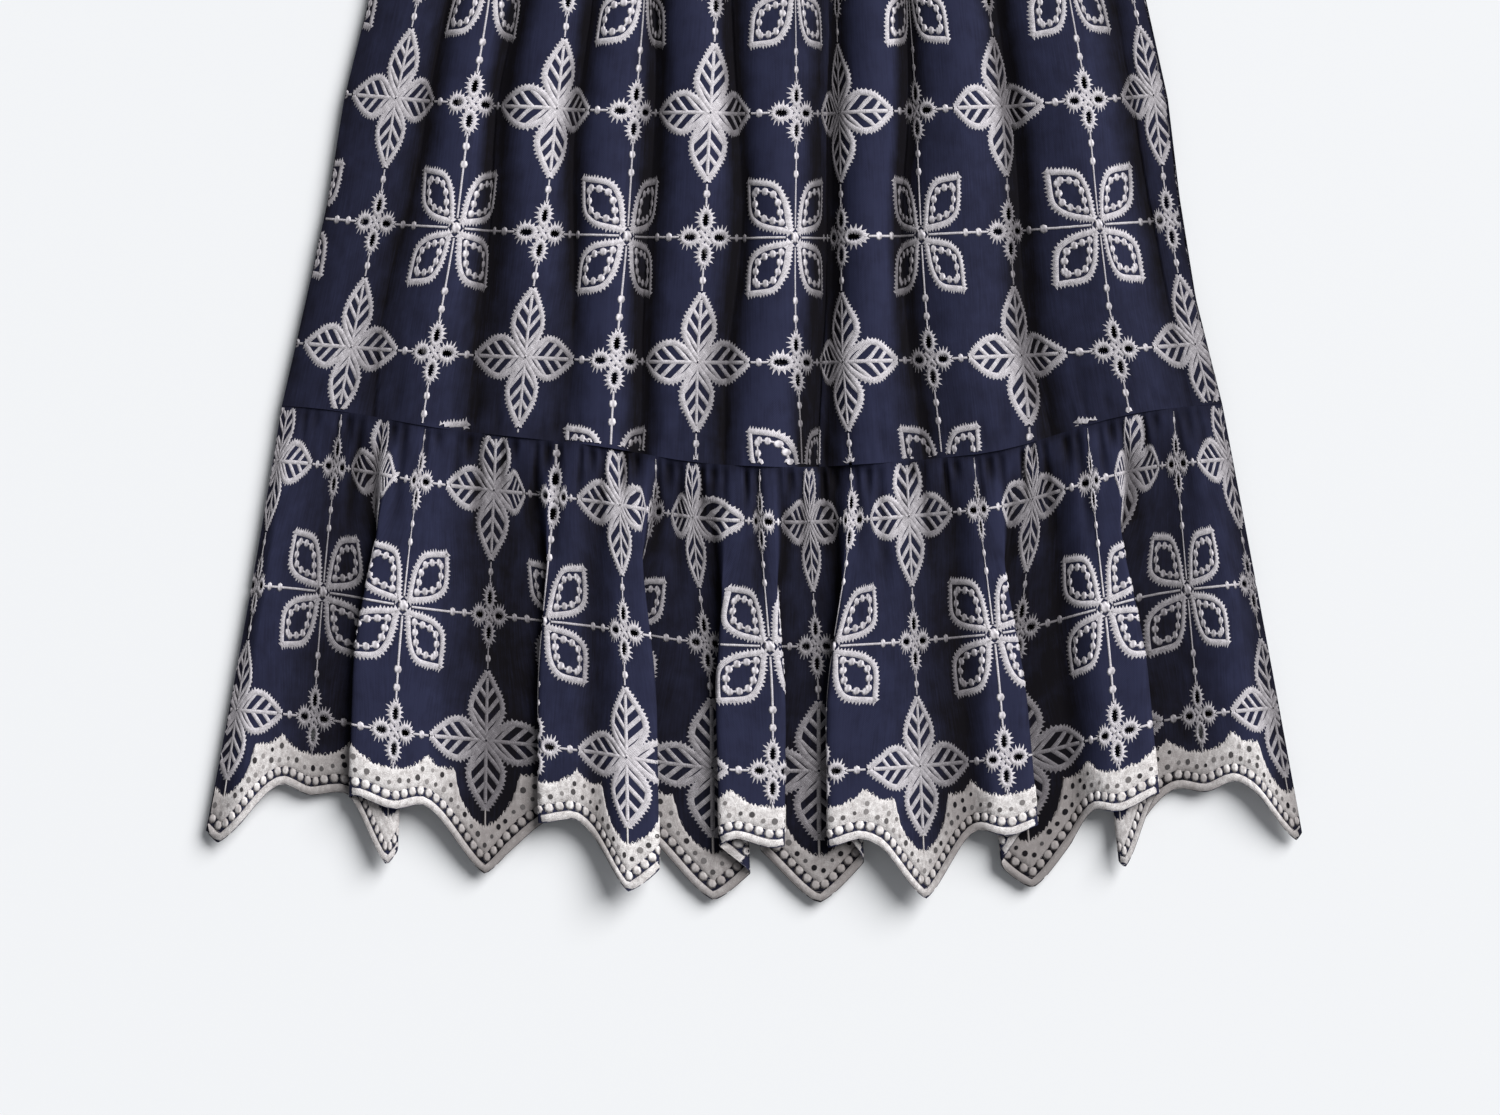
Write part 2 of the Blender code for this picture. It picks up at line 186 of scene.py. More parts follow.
# %% Folds of the ruffle
RUFFLE_STATIONS = np.array([   # chart x at seam, middle and hem, height in mm, squares across
    (283, 246, 205, 0, -0.14),
    (302, 263, 244, 4.5, 0.25),
    (350, 330, 320, 0, 1.12),
    (428, 404, 396, 9.5, 3.02),
    (513, 508, 506, 0.8, 4.22),
    (573, 571, 576, 8.5, 5.30),
    (590, 592, 596, 6, 5.54),
    (619, 625, 629, 9.8, 6.00),
    (684, 682, 683, 0, 7.74),
    (754, 753, 752, 9.5, 8.83),
    (806, 807, 807, 0, 9.90),
    (872, 878, 884, 10, 11.50),
    (946, 960, 974, 4.2, 12.60),
    (970, 988, 1003, 9, 12.92),
    (1040, 1056, 1074, 0, 14.36),
    (1084, 1100, 1118, 9.5, 14.94),
    (1160, 1170, 1186, 0.5, 16.74),
    (1196, 1230, 1264, 5, 17.55),
    (1221, 1262, 1302, 0, 18.10),
])
RUFFLE_LAPS = np.array([    # span, chart x of the visible edge at seam and hem, lap in chart units
    (2, 362, 350, 44),
    (4, 540, 539, 24),
    (7, 651, 659, 40),
    (8, 708, 722, 22),
    (9, 788, 784, 22),
    (10, 823, 829, 34),
    (13, 1002, 1042, 34),
    (15, 1122, 1163, 42),
])
BEND_REACH = 0.13             # half of the way across a lapped fold that one bend takes


def double_step(t, first, second):
    """Height across a lapped fold: half of the rise at each of its two bends."""
    under = smooth(t, first - BEND_REACH, first + BEND_REACH)
    over = smooth(t, second - BEND_REACH, second + BEND_REACH)
    return 0.08 * smooth(t) + 0.46 * (under + over)


def across(table, down):
    """Quadratic through the seam, middle and hem columns of a table."""
    at_seam = 2.0 * (down - 0.5) * (down - 1.0)
    at_middle = 4.0 * down * (1.0 - down)
    at_hem = 2.0 * down * (down - 0.5)
    return table[:, 0] * at_seam + table[:, 1] * at_middle + table[:, 2] * at_hem


def lap_swing(ways, run, low, edge, lap, rises):
    """Sideways swing of a lapped fold that puts its visible edge at the given chart x."""
    swing = (lap + 0.46 * run) / 1.98
    bend = 0.73 if rises else 0.27
    reach = 0.99 * swing if rises else -0.99 * swing
    lean = (edge - low - bend * run + reach) / 0.56
    return swing * np.sin(2.0 * np.pi * ways) + lean * np.sin(np.pi * ways) ** 2


def ruffle_section(spans, ways, down):
    """Chart x, height and place of the front ruffle's columns at one level down."""
    station_x = across(RUFFLE_STATIONS, down)
    low_x, high_x = station_x[spans], station_x[spans + 1]
    start, end = RUFFLE_STATIONS[spans, 3], RUFFLE_STATIONS[spans + 1, 3]
    plain_x = low_x + (high_x - low_x) * ways
    x = plain_x.copy()
    rise = smooth(ways)
    formed = smooth(down, 0.04, 0.60)
    fine = np.linspace(0.0, 1.0, 401)
    for span, edge_seam, edge_hem, lap in RUFFLE_LAPS:
        number = int(span)
        here = spans == number
        low, run = station_x[number], station_x[number + 1] - station_x[number]
        rises = RUFFLE_STATIONS[number + 1, 3] > RUFFLE_STATIONS[number, 3]
        edge = edge_seam + (edge_hem - edge_seam) * down
        x[here] += formed * lap_swing(ways[here], run, low, edge, lap, rises)
        track = low + run * fine + formed * lap_swing(fine, run, low, edge, lap, rises)
        first = fine[np.argmax(track[:201])]
        second = fine[200 + np.argmin(track[200:])]
        rise[here] = double_step(ways[here], first, second)
    folded = FRONT_REST + 0.001 * (start + (end - start) * rise) * (0.75 + 0.35 * down)
    left, right = station_x[0], station_x[-1]
    plain = upper_height(2.0 * (plain_x - left) / (right - left) - 1.0, 1.0)
    place = 2.0 * (x - left) / (right - left) - 1.0
    return x, plain + (folded - plain) * smooth(down, 0.0, 0.15), place


# %% [markdown]
# ## The hem's outline
# The hem is cut along its embroidery. Under every leaf flower it runs to a deep point, and under every
# eyelet cross it bows a little, with a notch on either side. One function of the squares across gives
# that outline, and the band's other lines are worked from it.

# %% Outline of the hem, as a rise above the scallop points
POINT_BELOW_ROW = 132.0     # scallop point below the middle of the hem row's flowers


def off_leaf(squares):
    """Squares from the nearest leaf flower of the hem row, which stand on even squares."""
    return np.abs((squares + 1.0) % 2.0 - 1.0)


def hem_rise(squares):
    """Chart height of the hem above the scallop points: deep points on even squares."""
    off = off_leaf(squares)
    flank = NOTCH_RISE * smooth(off, -0.10, 0.72) / smooth(0.67, -0.10, 0.72)
    bump = 8.0 * smooth(off, 0.67, 1.0)
    return np.clip(flank - smooth(0.0, -0.10, 0.72) * NOTCH_RISE, 0.0, NOTCH_RISE) - bump


# %% [markdown]
# ## Panels as lookups
# Everything that is sewn on a panel has to lie on it, so each front panel is first worked out as a
# fine lattice of points. `Panel.at` then gives the point and the direction off the cloth at any place,
# which is how a stitch that was drawn on flat cloth finds its spot on the folded skirt. The panel also
# knows how deep in a fold each spot lies. Real folds stand higher than these, which are kept low as the
# skirt lies flat, so shade is painted into the cloth and the thread in the troughs to make up for it.

# %% Painted shade of the folds
PAINTED_SHADE_REACH = 18             # lattice columns on either side that a spot is compared with
PAINTED_SHADE_DEPTH = 0.0018         # metres below its neighbours at which a spot is darkest


def painted_fold_shade(height):
    """Painted shade: 1 on a crest and 0, darkest, in a trough, from each spot's height against its
    neighbours'.
    """
    wide = np.pad(height, ((0, 0), (PAINTED_SHADE_REACH, PAINTED_SHADE_REACH)), mode="edge")
    columns = height.shape[1]
    shifts = range(0, 2 * PAINTED_SHADE_REACH + 1, 2)
    mean = sum(wide[:, shift:shift + columns] for shift in shifts) / len(shifts)
    return 0.5 - 0.5 * np.clip((mean - height) / PAINTED_SHADE_DEPTH, -1.0, 1.0)


# %% A lattice that finds points on a folded panel
class Panel:
    """A lattice of points on a laid panel, looked up by column and row fractions."""

    def __init__(self, points, squares, facing=1.0, deeper=0.0):
        self.points = points
        self.squares = squares
        # Painted shade of the folds, from the heights; deeper adds painted shade where the cloth lies no
        # deeper.
        self.painted_shade = painted_fold_shade(points[:, :, 2] * facing - deeper)[:, :, None]
        along = np.gradient(points, axis=1)
        downward = np.gradient(points, axis=0)
        normals = np.cross(downward, along)
        self.normals = normals / np.linalg.norm(normals, axis=2, keepdims=True)

    def at(self, squares, down, lift=0.0):
        """Points of the cloth at squares across and down from 0 to 1, lifted off it, with their painted
        shade.
        """
        rows, columns = self.points.shape[:2]
        column = np.interp(squares, self.squares, np.arange(columns, dtype=float))
        row = np.clip(down, 0.0, 1.0) * (rows - 1)
        i = np.clip(column.astype(int), 0, columns - 2)
        j = np.clip(row.astype(int), 0, rows - 2)
        s, t = (column - i)[..., None], (row - j)[..., None]

        def mix(grid):
            top = grid[j, i] * (1.0 - s) + grid[j, i + 1] * s
            return top * (1.0 - t) + (grid[j + 1, i] * (1.0 - s) + grid[j + 1, i + 1] * s) * t

        lifted = mix(self.points) + mix(self.normals) * np.asarray(lift)[..., None]
        return lifted, mix(self.painted_shade)[..., 0]


# %% The front ruffle's lattice
LAP_COLUMNS = 44            # columns across a span that folds back, which needs more of them
WAVE_COLUMNS = 26
NATURAL = 0.94              # width of the pattern on a crest, against the flat cloth
MEASURED_AT = 0.72          # how far down the spans of cloth are measured
TUCK_HALF = 0.20            # half of the way across a lapped span that is hidden in the lap
GATHER_LIFT = 0.0004        # metres that the crests rise by, to make up for the gathers' creases
lapped = set(RUFFLE_LAPS[:, 0].astype(int))
span_count = len(RUFFLE_STATIONS) - 1
spans, ways = [], []
for span in range(span_count):
    count = LAP_COLUMNS if span in lapped else WAVE_COLUMNS
    spans += [span] * count
    ways += list(np.arange(count) / count)
spans = np.array(spans + [span_count - 1])
ways = np.array(ways + [1.0])

x, z, _ = ruffle_section(spans, ways, MEASURED_AT)
steps = np.hypot(np.diff(x) * UNIT, np.diff(z)) / (PITCH * UNIT * NATURAL)
corners = [np.flatnonzero(spans == span)[0] for span in range(span_count)] + [len(spans) - 1]
for span in range(span_count):
    here = slice(corners[span], corners[span + 1])
    wanted = RUFFLE_STATIONS[span + 1, 4] - RUFFLE_STATIONS[span, 4]
    tucked = np.abs(ways[here] - 0.5) < TUCK_HALF
    shown = steps[here][~tucked].sum()
    if span in lapped and wanted > shown + 0.4 * steps[here][tucked].sum():
        steps[here][tucked] *= (wanted - shown) / steps[here][tucked].sum()
    else:
        steps[here] *= wanted / steps[here].sum()
ruffle_squares = RUFFLE_STATIONS[0, 4] + np.concatenate([[0.0], np.cumsum(steps)])

ruffle_rows = []
for down in np.linspace(0.0, 1.0, 151):
    x, z, place = ruffle_section(spans, ways, down)
    y = seam_y(side_x(SIDE_SEAM, place)) + 0.5 * SEAM_GAP + down * RUFFLE_DROP
    z = z - gather_creases(place, down, 62, 0.0029, 0.46, 0.11) * edge_fall(place) + GATHER_LIFT
    ruffle_rows.append(to_metres(x, y, z))
ruffle = Panel(np.array(ruffle_rows), ruffle_squares)
print("ruffle lattice", ruffle.points.shape[:2], "squares", ruffle_squares[[0, -1]].round(2))

# %% The front upper tier's lattice
UPPER_SQUARES = np.array([  # squares across, place
    (-0.66, -1.000), (0, -0.878), (1, -0.700), (2, -0.498), (3, -0.310), (4, -0.120),
    (5, 0.090), (6, 0.220), (7, 0.403), (8, 0.583), (9, 0.802), (10, 0.975), (10.14, 1.000),
])
PLEAT_TAKES = 0.075         # squares of cloth that a trough takes in, for each mm of its depth
PLEAT_HALF = 0.020          # half width of the part where it is taken in
PLEAT_SPREAD = 0.22         # width over which the cloth beside it gives way


def wander(place, down):
    """Place of a fold's line after its slight bends on the way down."""
    bend = 0.016 * np.sin(7.0 * down + 5.0 * place) + 0.008 * np.sin(15.0 * down - 9.0 * place)
    return place + bend * smooth(down, 0.0, 0.2) * edge_fall(place)


def upper_cloth(place, down):
    """Squares across at a place: the measured columns, with more cloth taken into each trough."""
    squares = np.interp(place, UPPER_SQUARES[:, 1], UPPER_SQUARES[:, 0])
    bent = wander(place, down)
    for centre, _, depth, start, end in UPPER_FOLDS:
        if depth > 0.0:
            taken = 0.5 + 0.5 * np.tanh((bent - centre) / PLEAT_HALF)
            spread = np.clip((bent - centre) / PLEAT_SPREAD + 0.5, 0.0, 1.0)
            squares = squares + PLEAT_TAKES * depth * fold_reach(down, start, end) * (taken - spread)
    return squares


def pillows(place, down):
    """Soft domes between the troughs of the upper tier, in metres."""
    troughs = np.array([-1.12] + [row[0] for row in UPPER_FOLDS if row[2] > 0.0] + [1.10])
    number = np.clip(np.searchsorted(troughs, place) - 1, 0, len(troughs) - 2)
    along = (place - troughs[number]) / (troughs[number + 1] - troughs[number])
    width = (troughs[number + 1] - troughs[number]) / 0.2
    swell = np.sin(np.pi * np.clip(along, 0.0, 1.0)) ** 0.9 - 0.55
    tall = 0.0036 * np.minimum(width, 1.15) * (1.0 + 0.30 * np.sin(8.0 * down + 2.6 * number))
    return tall * swell * smooth(down, 0.0, 0.25) * (1.0 - 0.35 * smooth(down, 0.8, 1.0))


# Painted shade on the upper tier's main folds: darker where the mm are above 0, painted lighter below 0.
UPPER_PAINTED_SHADES = np.array([   # place, half width, and mm by which a fold looks deeper than it lies
    (-0.560, 0.055, 1.8),
    (-0.410, 0.050, -2.2),
    (-0.030, 0.060, -1.4),
    (0.170, 0.080, 4.0),
    (0.860, 0.075, -3.0),
])


def extra_painted_shade(place, down):
    """Metres of extra fold depth that only the painted shade sees, as the cloth is pressed a little flatter
    than it fell.
    """
    painted_shades = [mm * np.exp(-((place - centre) / half) ** 2) for centre, half, mm in UPPER_PAINTED_SHADES]
    return 0.001 * sum(painted_shades) * smooth(down, 0.40, 0.65)


UPPER_ROWS, UPPER_COLUMNS = 141, 501
PILLOW_LIFT = 0.0005        # metres that the crests rise by, to make up for the creases
upper_squares = np.linspace(UPPER_SQUARES[0, 0], UPPER_SQUARES[-1, 0], UPPER_COLUMNS)
upper_down = np.linspace(0.0, 1.0, UPPER_ROWS)[:, None]
fine_place = np.linspace(-1.0, 1.0, 2001)
upper_place = np.array([
    np.interp(upper_squares, upper_cloth(fine_place, down), fine_place) for down in upper_down[:, 0]
])
upper_foot = seam_y(side_x(SIDE_SEAM, upper_place)) + 0.7 * SEAM_GAP   # laps over the seam a little
upper_x = side_x(WAIST_SEAM + upper_down * (SIDE_SEAM - WAIST_SEAM), upper_place)
upper_y = WAIST_SEAM + upper_down * (upper_foot - WAIST_SEAM)
upper_bent = wander(upper_place, upper_down)
relief = pillows(upper_bent, upper_down)
relief -= gather_creases(upper_place, upper_down, 70, 0.0022, 0.55, 0.43)
relief -= gather_creases(upper_place, 1.0 - upper_down, 60, 0.0010, 0.12, 0.77)
upper_z = upper_height(upper_bent, upper_down) + PILLOW_LIFT + relief * edge_fall(upper_place)
# Extra painted shade for the main folds; it changes no heights.
painted_shades = extra_painted_shade(upper_bent, upper_down)
upper = Panel(to_metres(upper_x, upper_y, upper_z), upper_squares, deeper=painted_shades)
print("upper lattice", upper.points.shape[:2])

# %% [markdown]
# ## Threads and cloth as finishes
# An effect that several finishes share is a node group that is built once. `plain_weave` gives the fine
# over-and-under of the cotton, and `laid_stitches` the ridges of thread in satin stitch. Both read the
# piece's own UV map, which holds real distances on the flat cloth in metres, so the weave follows every
# fold and never slides. A third group finds the eyelet holes, which repeat with the trellis.

# %% Helpers that place and join shader nodes
def add_node(tree, kind, *inputs, **settings):
    """A node whose inputs are filled in order, with numbers or with other nodes' sockets."""
    node = tree.nodes.new(kind)
    for name, value in settings.items():
        setattr(node, name, value)
    for number, value in enumerate(inputs):
        if isinstance(value, bpy.types.NodeSocket):
            tree.links.new(value, node.inputs[number])
        elif value is not None:
            node.inputs[number].default_value = value
    return node


def maths(tree, operation, *inputs):
    """The output of one Math node."""
    return add_node(tree, "ShaderNodeMath", *inputs, operation=operation).outputs[0]


class Group:
    """A shader node group that reads a UV map and some named numbers."""

    def __init__(self, name, numbers):
        self.tree = bpy.data.node_groups.new(name, "ShaderNodeTree")
        self.tree.interface.new_socket("UV", in_out="INPUT", socket_type="NodeSocketVector")
        for label, value in numbers.items():
            socket = self.tree.interface.new_socket(label, in_out="INPUT", socket_type="NodeSocketFloat")
            socket.default_value = value
        self.given = self.tree.nodes.new("NodeGroupInput").outputs
        self.x, self.y, _ = add_node(self.tree, "ShaderNodeSeparateXYZ", self.given["UV"]).outputs

    def maths(self, operation, *inputs):
        """The output of one Math node in the group."""
        return maths(self.tree, operation, *inputs)

    def noise(self, scale, detail, roughness, uv=None):
        """The value of a noise texture over the UV map."""
        settings = (uv or self.given["UV"], None, scale, detail, roughness)
        return add_node(self.tree, "ShaderNodeTexNoise", *settings).outputs["Fac"]

    def give(self, **results):
        """Name the group's outputs and join them."""
        for label in results:
            self.tree.interface.new_socket(label, in_out="OUTPUT", socket_type="NodeSocketFloat")
        end = self.tree.nodes.new("NodeGroupOutput")
        for label, socket in results.items():
            self.tree.links.new(socket, end.inputs[label])
        print(self.tree.name, len(self.tree.nodes), "nodes")


# %% The weave of the cotton
WEAVE_STREAKS = (900.0, 45.0, 1.0)   # threads vary quickly across and slowly along
weave = Group("plain_weave", {"Threads per metre": 1900.0})
turn = weave.maths("MULTIPLY", weave.given["Threads per metre"], np.pi)
warp = weave.maths("SINE", weave.maths("MULTIPLY", weave.x, turn))
weft = weave.maths("SINE", weave.maths("MULTIPLY", weave.y, turn))
over = weave.maths("MULTIPLY", warp, weft)
slub = weave.noise(60.0, 3.0, 0.6)
stretched = add_node(
    weave.tree, "ShaderNodeVectorMath", weave.given["UV"], WEAVE_STREAKS, operation="MULTIPLY"
)
streak = weave.noise(1.0, 2.0, 0.5, stretched.outputs[0])
weave.give(
    Height=weave.maths("MULTIPLY_ADD", over, 0.5, streak),
    Shade=weave.maths("MULTIPLY_ADD", slub, 0.6, weave.maths("MULTIPLY", streak, 0.4)),
)

# %% The ridges of laid thread
stitches = Group("laid_stitches", {"Stitch length": 0.0007, "Ridge": 0.3})
along = stitches.maths("DIVIDE", stitches.x, stitches.given["Stitch length"])
along = stitches.maths("ADD", along, stitches.noise(700.0, 1.0, 0.5))
ridge = stitches.maths("SINE", stitches.maths("MULTIPLY", along, 2.0 * np.pi))
ridge = stitches.maths("MULTIPLY", ridge, stitches.given["Ridge"])
fuzz = stitches.noise(1500.0, 3.0, 0.7)
patch = stitches.noise(260.0, 3.0, 0.7)
mottle = stitches.maths("MULTIPLY", stitches.maths("ADD", fuzz, patch), 0.5)
# Shade mixes the thread's own mottle with painted light and shade on its ridges: lighter crests, darker
# grooves between stitches.
stitches.give(
    Height=stitches.maths("MULTIPLY_ADD", fuzz, 1.5, ridge),
    Shade=stitches.maths("MULTIPLY_ADD", ridge, 0.4, mottle),
)

# %% [markdown]
# ### Eyelet holes
# An eyelet is a small slit punched through the cloth and oversewn. Cutting hundreds of them into the
# mesh would cost far more faces than they are worth, so the cloth is made clear there instead. Crosses
# stand where squares across and down add up to an odd number. Turning the trellis by half a right angle
# makes those places whole numbers, and rounding then finds the nearest cross.

# %% Where the cloth is punched through
EYELET_OUT = 0.140          # middle of an eyelet from the middle of its cross, in squares
EYELET_LONG = 0.052         # half its length
EYELET_WIDE = 0.026         # half its width
holes = Group("eyelet_holes", {"Square": PITCH * UNIT})
u, w = [holes.maths("DIVIDE", side, holes.given["Square"]) for side in (holes.x, holes.y)]
offs = []
for operation in ("ADD", "SUBTRACT"):
    turned_by_eighth = holes.maths("MULTIPLY_ADD", holes.maths(operation, u, w), 0.5, -0.5)
    offs.append(holes.maths("SUBTRACT", turned_by_eighth, holes.maths("ROUND", turned_by_eighth)))
u_off = holes.maths("ABSOLUTE", holes.maths("ADD", *offs))
w_off = holes.maths("ABSOLUTE", holes.maths("SUBTRACT", *offs))
out_along = holes.maths("SUBTRACT", holes.maths("MAXIMUM", u_off, w_off), EYELET_OUT)
out_along = holes.maths("DIVIDE", out_along, EYELET_LONG)
out_across = holes.maths("DIVIDE", holes.maths("MINIMUM", u_off, w_off), EYELET_WIDE)
across_squared = holes.maths("MULTIPLY", out_across, out_across)
far = holes.maths("MULTIPLY_ADD", out_along, out_along, across_squared)
holes.give(Cloth=holes.maths("GREATER_THAN", far, 1.0))

# %% [markdown]
# ### The finishes
# The cloth is a deep, matt navy. The flowers are in a cool grey-white thread and the hem in a warmer
# cream one. The tiny eyelets in the hem are painted shadows between threads, some dark and some faint.
# Each finish keeps its own shader and mixes its colour from the shared groups, so that no surface is one
# flat colour. Painted shade of the folds, read from each piece's heights, then darkens it in the troughs.

# %% Navy cotton with and without eyelets, the threads, and the painted shadow of the hem's eyelets
def finish_material(name, fold, dark, light, spread, group, values, bump, distance):
    """A material that mixes two colours by a group's shade, has painted shade in the folds, and has its
    relief.
    """
    material = bpy.data.materials.new(name)
    material.use_nodes = True
    tree = material.node_tree
    shader = tree.nodes["Principled BSDF"]
    uv = add_node(tree, "ShaderNodeUVMap", uv_map="cloth").outputs["UV"]
    effect = add_node(tree, "ShaderNodeGroup", uv, *values, node_tree=group.tree)
    ramp = add_node(tree, "ShaderNodeValToRGB", effect.outputs["Shade"])
    for number, colour in enumerate((dark, light)):
        ramp.color_ramp.elements[number].position = 0.5 + (2 * number - 1) * spread
        ramp.color_ramp.elements[number].color = (*colour, 1.0)
    # Painted shade: where the painted fold shade is low, the colour goes over to the colour in the folds.
    depth = add_node(tree, "ShaderNodeAttribute", attribute_name="painted_fold_shade").outputs["Fac"]
    share = maths(tree, "ADD", depth, maths(tree, "SUBTRACT", effect.outputs["Shade"], 0.5))
    shaded = add_node(tree, "ShaderNodeMix", share, data_type="RGBA")
    shaded.inputs[6].default_value = (*fold, 1.0)
    tree.links.new(ramp.outputs["Color"], shaded.inputs[7])
    tree.links.new(shaded.outputs[2], shader.inputs["Base Color"])
    relief = add_node(tree, "ShaderNodeBump", bump, distance)
    tree.links.new(effect.outputs["Height"], relief.inputs["Height"])
    tree.links.new(relief.outputs["Normal"], shader.inputs["Normal"])
    shader.inputs["Roughness"].default_value = 0.80
    shader.inputs["Specular IOR Level"].default_value = 0.08
    return material, uv


# Painted shade colours in the folds, colours of the dark and of the light threads, and how far the shade
# spreads between them.
NAVY = ((0.0040, 0.0033, 0.0052), (0.0150, 0.0155, 0.0355), (0.0300, 0.0340, 0.0740), 0.5)
FLOWER_GREY = ((0.13, 0.120, 0.130), (0.42, 0.395, 0.42), (0.86, 0.82, 0.86), 0.17)
HEM_CREAM = ((0.28, 0.255, 0.250), (0.50, 0.462, 0.455), (0.98, 0.945, 0.935), 0.11)
# The hem's tiny eyelets are discs of painted shadow, from dark to faint grey.
HEM_EYELET_SHADOW = ((0.010, 0.009, 0.011), (0.018, 0.016, 0.020), (0.38, 0.355, 0.350), 0.25)
navy_plain, _ = finish_material("navy_cotton_plain", *NAVY, weave, (1900.0,), 0.35, 0.0002)
navy_eyelet, navy_uv = finish_material("navy_cotton_eyelet", *NAVY, weave, (1900.0,), 0.35, 0.0002)
navy_tree = navy_eyelet.node_tree
punched = add_node(navy_tree, "ShaderNodeGroup", navy_uv, PITCH * UNIT, node_tree=holes.tree)
navy_tree.links.new(punched.outputs["Cloth"], navy_tree.nodes["Principled BSDF"].inputs["Alpha"])
flower_thread, _ = finish_material("flower_thread", *FLOWER_GREY, stitches, (0.0007, 0.30), 0.7, 0.0003)
hem_thread, _ = finish_material("hem_thread", *HEM_CREAM, stitches, (0.0007, 0.10), 0.7, 0.0004)
hem_eyelet_shadow, _ = finish_material("hem_eyelet_shadow", *HEM_EYELET_SHADOW, stitches, (0.0007, 0.45), 0.7, 0.0004)
print("finishes", [m.name for m in (navy_plain, navy_eyelet, flower_thread, hem_thread, hem_eyelet_shadow)])

# %% [markdown]
# ## Laying the cloth
# A sheet starts as a flat grid. Each of its points is then moved to where that spot of the cloth lies
# on the panel's lattice, and its UV keeps where it was on the flat cloth.

# %% A grid of cloth laid on given points
def new_object(name, data):
    """An object at the scene's origin."""
    thing = bpy.data.objects.new(name, data)
    bpy.context.scene.collection.objects.link(thing)
    return thing


def cloth_object(mesh, uv, painted_shade, material):
    """An object on a mesh whose points know their place on the flat cloth and their painted fold shade."""
    corner = np.empty(len(mesh.loops), dtype=np.int32)
    mesh.loops.foreach_get("vertex_index", corner)
    mesh.uv_layers.new(name="cloth").data.foreach_set("uv", uv[corner].ravel())
    mesh.attributes.new("painted_fold_shade", "FLOAT", "POINT").data.foreach_set("value", painted_shade)
    mesh.polygons.foreach_set("use_smooth", np.ones(len(mesh.polygons), dtype=bool))
    mesh.materials.append(material)
    mesh.update()
    print(mesh.name, len(mesh.loops) - 2 * len(mesh.polygons), "triangles")
    return new_object(mesh.name, mesh)


def laid_sheet(name, points, painted_shade, flat, material):
    """A grid mesh on an array of points, with the flat cloth's distances as its UV map."""
    rows, columns = points.shape[:2]
    bm = bmesh.new()
    bmesh.ops.create_grid(bm, x_segments=columns - 1, y_segments=rows - 1, size=1.0)
    mesh = bpy.data.meshes.new(name)
    bm.to_mesh(mesh)
    bm.free()
    start = np.empty(len(mesh.vertices) * 3)
    mesh.vertices.foreach_get("co", start)
    start = start.reshape(-1, 3)
    i = np.rint((start[:, 0] + 1.0) / 2.0 * (columns - 1)).astype(int)
    j = rows - 1 - np.rint((start[:, 1] + 1.0) / 2.0 * (rows - 1)).astype(int)
    mesh.vertices.foreach_set("co", points[j, i].ravel())
    return cloth_object(mesh, flat[j, i], painted_shade[j, i].ravel(), material)


# %% [markdown]
# ### Front panels
# The ruffle's first row of flowers is 55 units under the seam, and its rows are one square apart. These
# folds hold less cloth than real ones, so the pattern has to be drawn in somewhere. The flowers are what
# the eye goes to, so they lie a little wider than the mean and the eyelet crosses between them narrower.
# The upper tier is cut with a curved lower edge, so the seam crosses its rows: they sag by only 20 units
# in the middle where the seam sags by 60.

# %% Where the pattern lies wide and where it is drawn in
RUFFLE_FIRST_ROW = 55.0     # chart units from the seam to the middle of the ruffle's first flowers
FLOWERS_WIDER = 0.20        # share by which flowers lie wider than the cloth's mean, and crosses narrower


def widened(squares, rows):
    """Squares across on the folds of a spot at squares across and rows down the flat cloth."""
    swell = np.sin(np.pi * squares) * np.cos(np.pi * np.clip(rows, 0.0, 2.0))
    return squares + FLOWERS_WIDER / np.pi * swell


def unwidened(on_folds, rows):
    """The other way round: squares across the flat cloth of a spot on the folds."""
    squares = on_folds
    for _ in range(6):
        squares = on_folds - (widened(squares, rows) - squares)
    return squares


# %% The ruffle's front
def ruffle_sheet(name, panel, cut, drop, above):
    """Lay a ruffle's sheet, cut to the given levels, on its panel."""
    squares = np.broadcast_to(panel.squares, cut.shape)
    units = cut * drop + above - RUFFLE_FIRST_ROW
    flat = np.stack([unwidened(squares, units / PITCH) * PITCH, units], axis=-1) * UNIT
    points, painted_shade = panel.at(squares, cut)
    return laid_sheet(name, points, painted_shade, flat, navy_eyelet)


ruffle_level = np.linspace(0.0, 1.0, 130)[:, None]
hem_level = 1.0 - hem_rise(ruffle_squares)[None, :] / RUFFLE_DROP
tighten = np.clip((ruffle_level - 0.5) / 0.5, 0.0, 1.0)
ruffle_cut = ruffle_level * (1.0 + tighten * (hem_level - 1.0))
ruffle_front = ruffle_sheet("ruffle_front_cloth", ruffle, ruffle_cut, RUFFLE_DROP, 0.0)

# %% The upper tier's front
UPPER_LAST_ROW = 343.0      # chart y of the lowest flowers at the sides
UPPER_SAG = 20.0            # how much lower they lie in the middle


def upper_sheet(name, panel, place, y):
    """Lay an upper tier's sheet on its panel, with its rows of flowers numbered by their sag."""
    number = (y - UPPER_LAST_ROW - UPPER_SAG * (1.0 - place**2)) / PITCH
    squares = np.broadcast_to(panel.squares, number.shape)
    flat = np.stack([squares, number], axis=-1) * PITCH * UNIT
    return laid_sheet(name, panel.points, panel.painted_shade[:, :, 0], flat, navy_eyelet)


upper_front = upper_sheet("upper_front_cloth", upper, upper_place, upper_y)

# %% [markdown]
# ### Back panels and waistband
# The back lies under the front, pressed flat on the table. It is cut like the front, so its ruffle is
# the front's turned over: the same folds in mirror image, facing down and pressed to a third of their
# height. The upper tier's back and the waistband carry only low gathers.

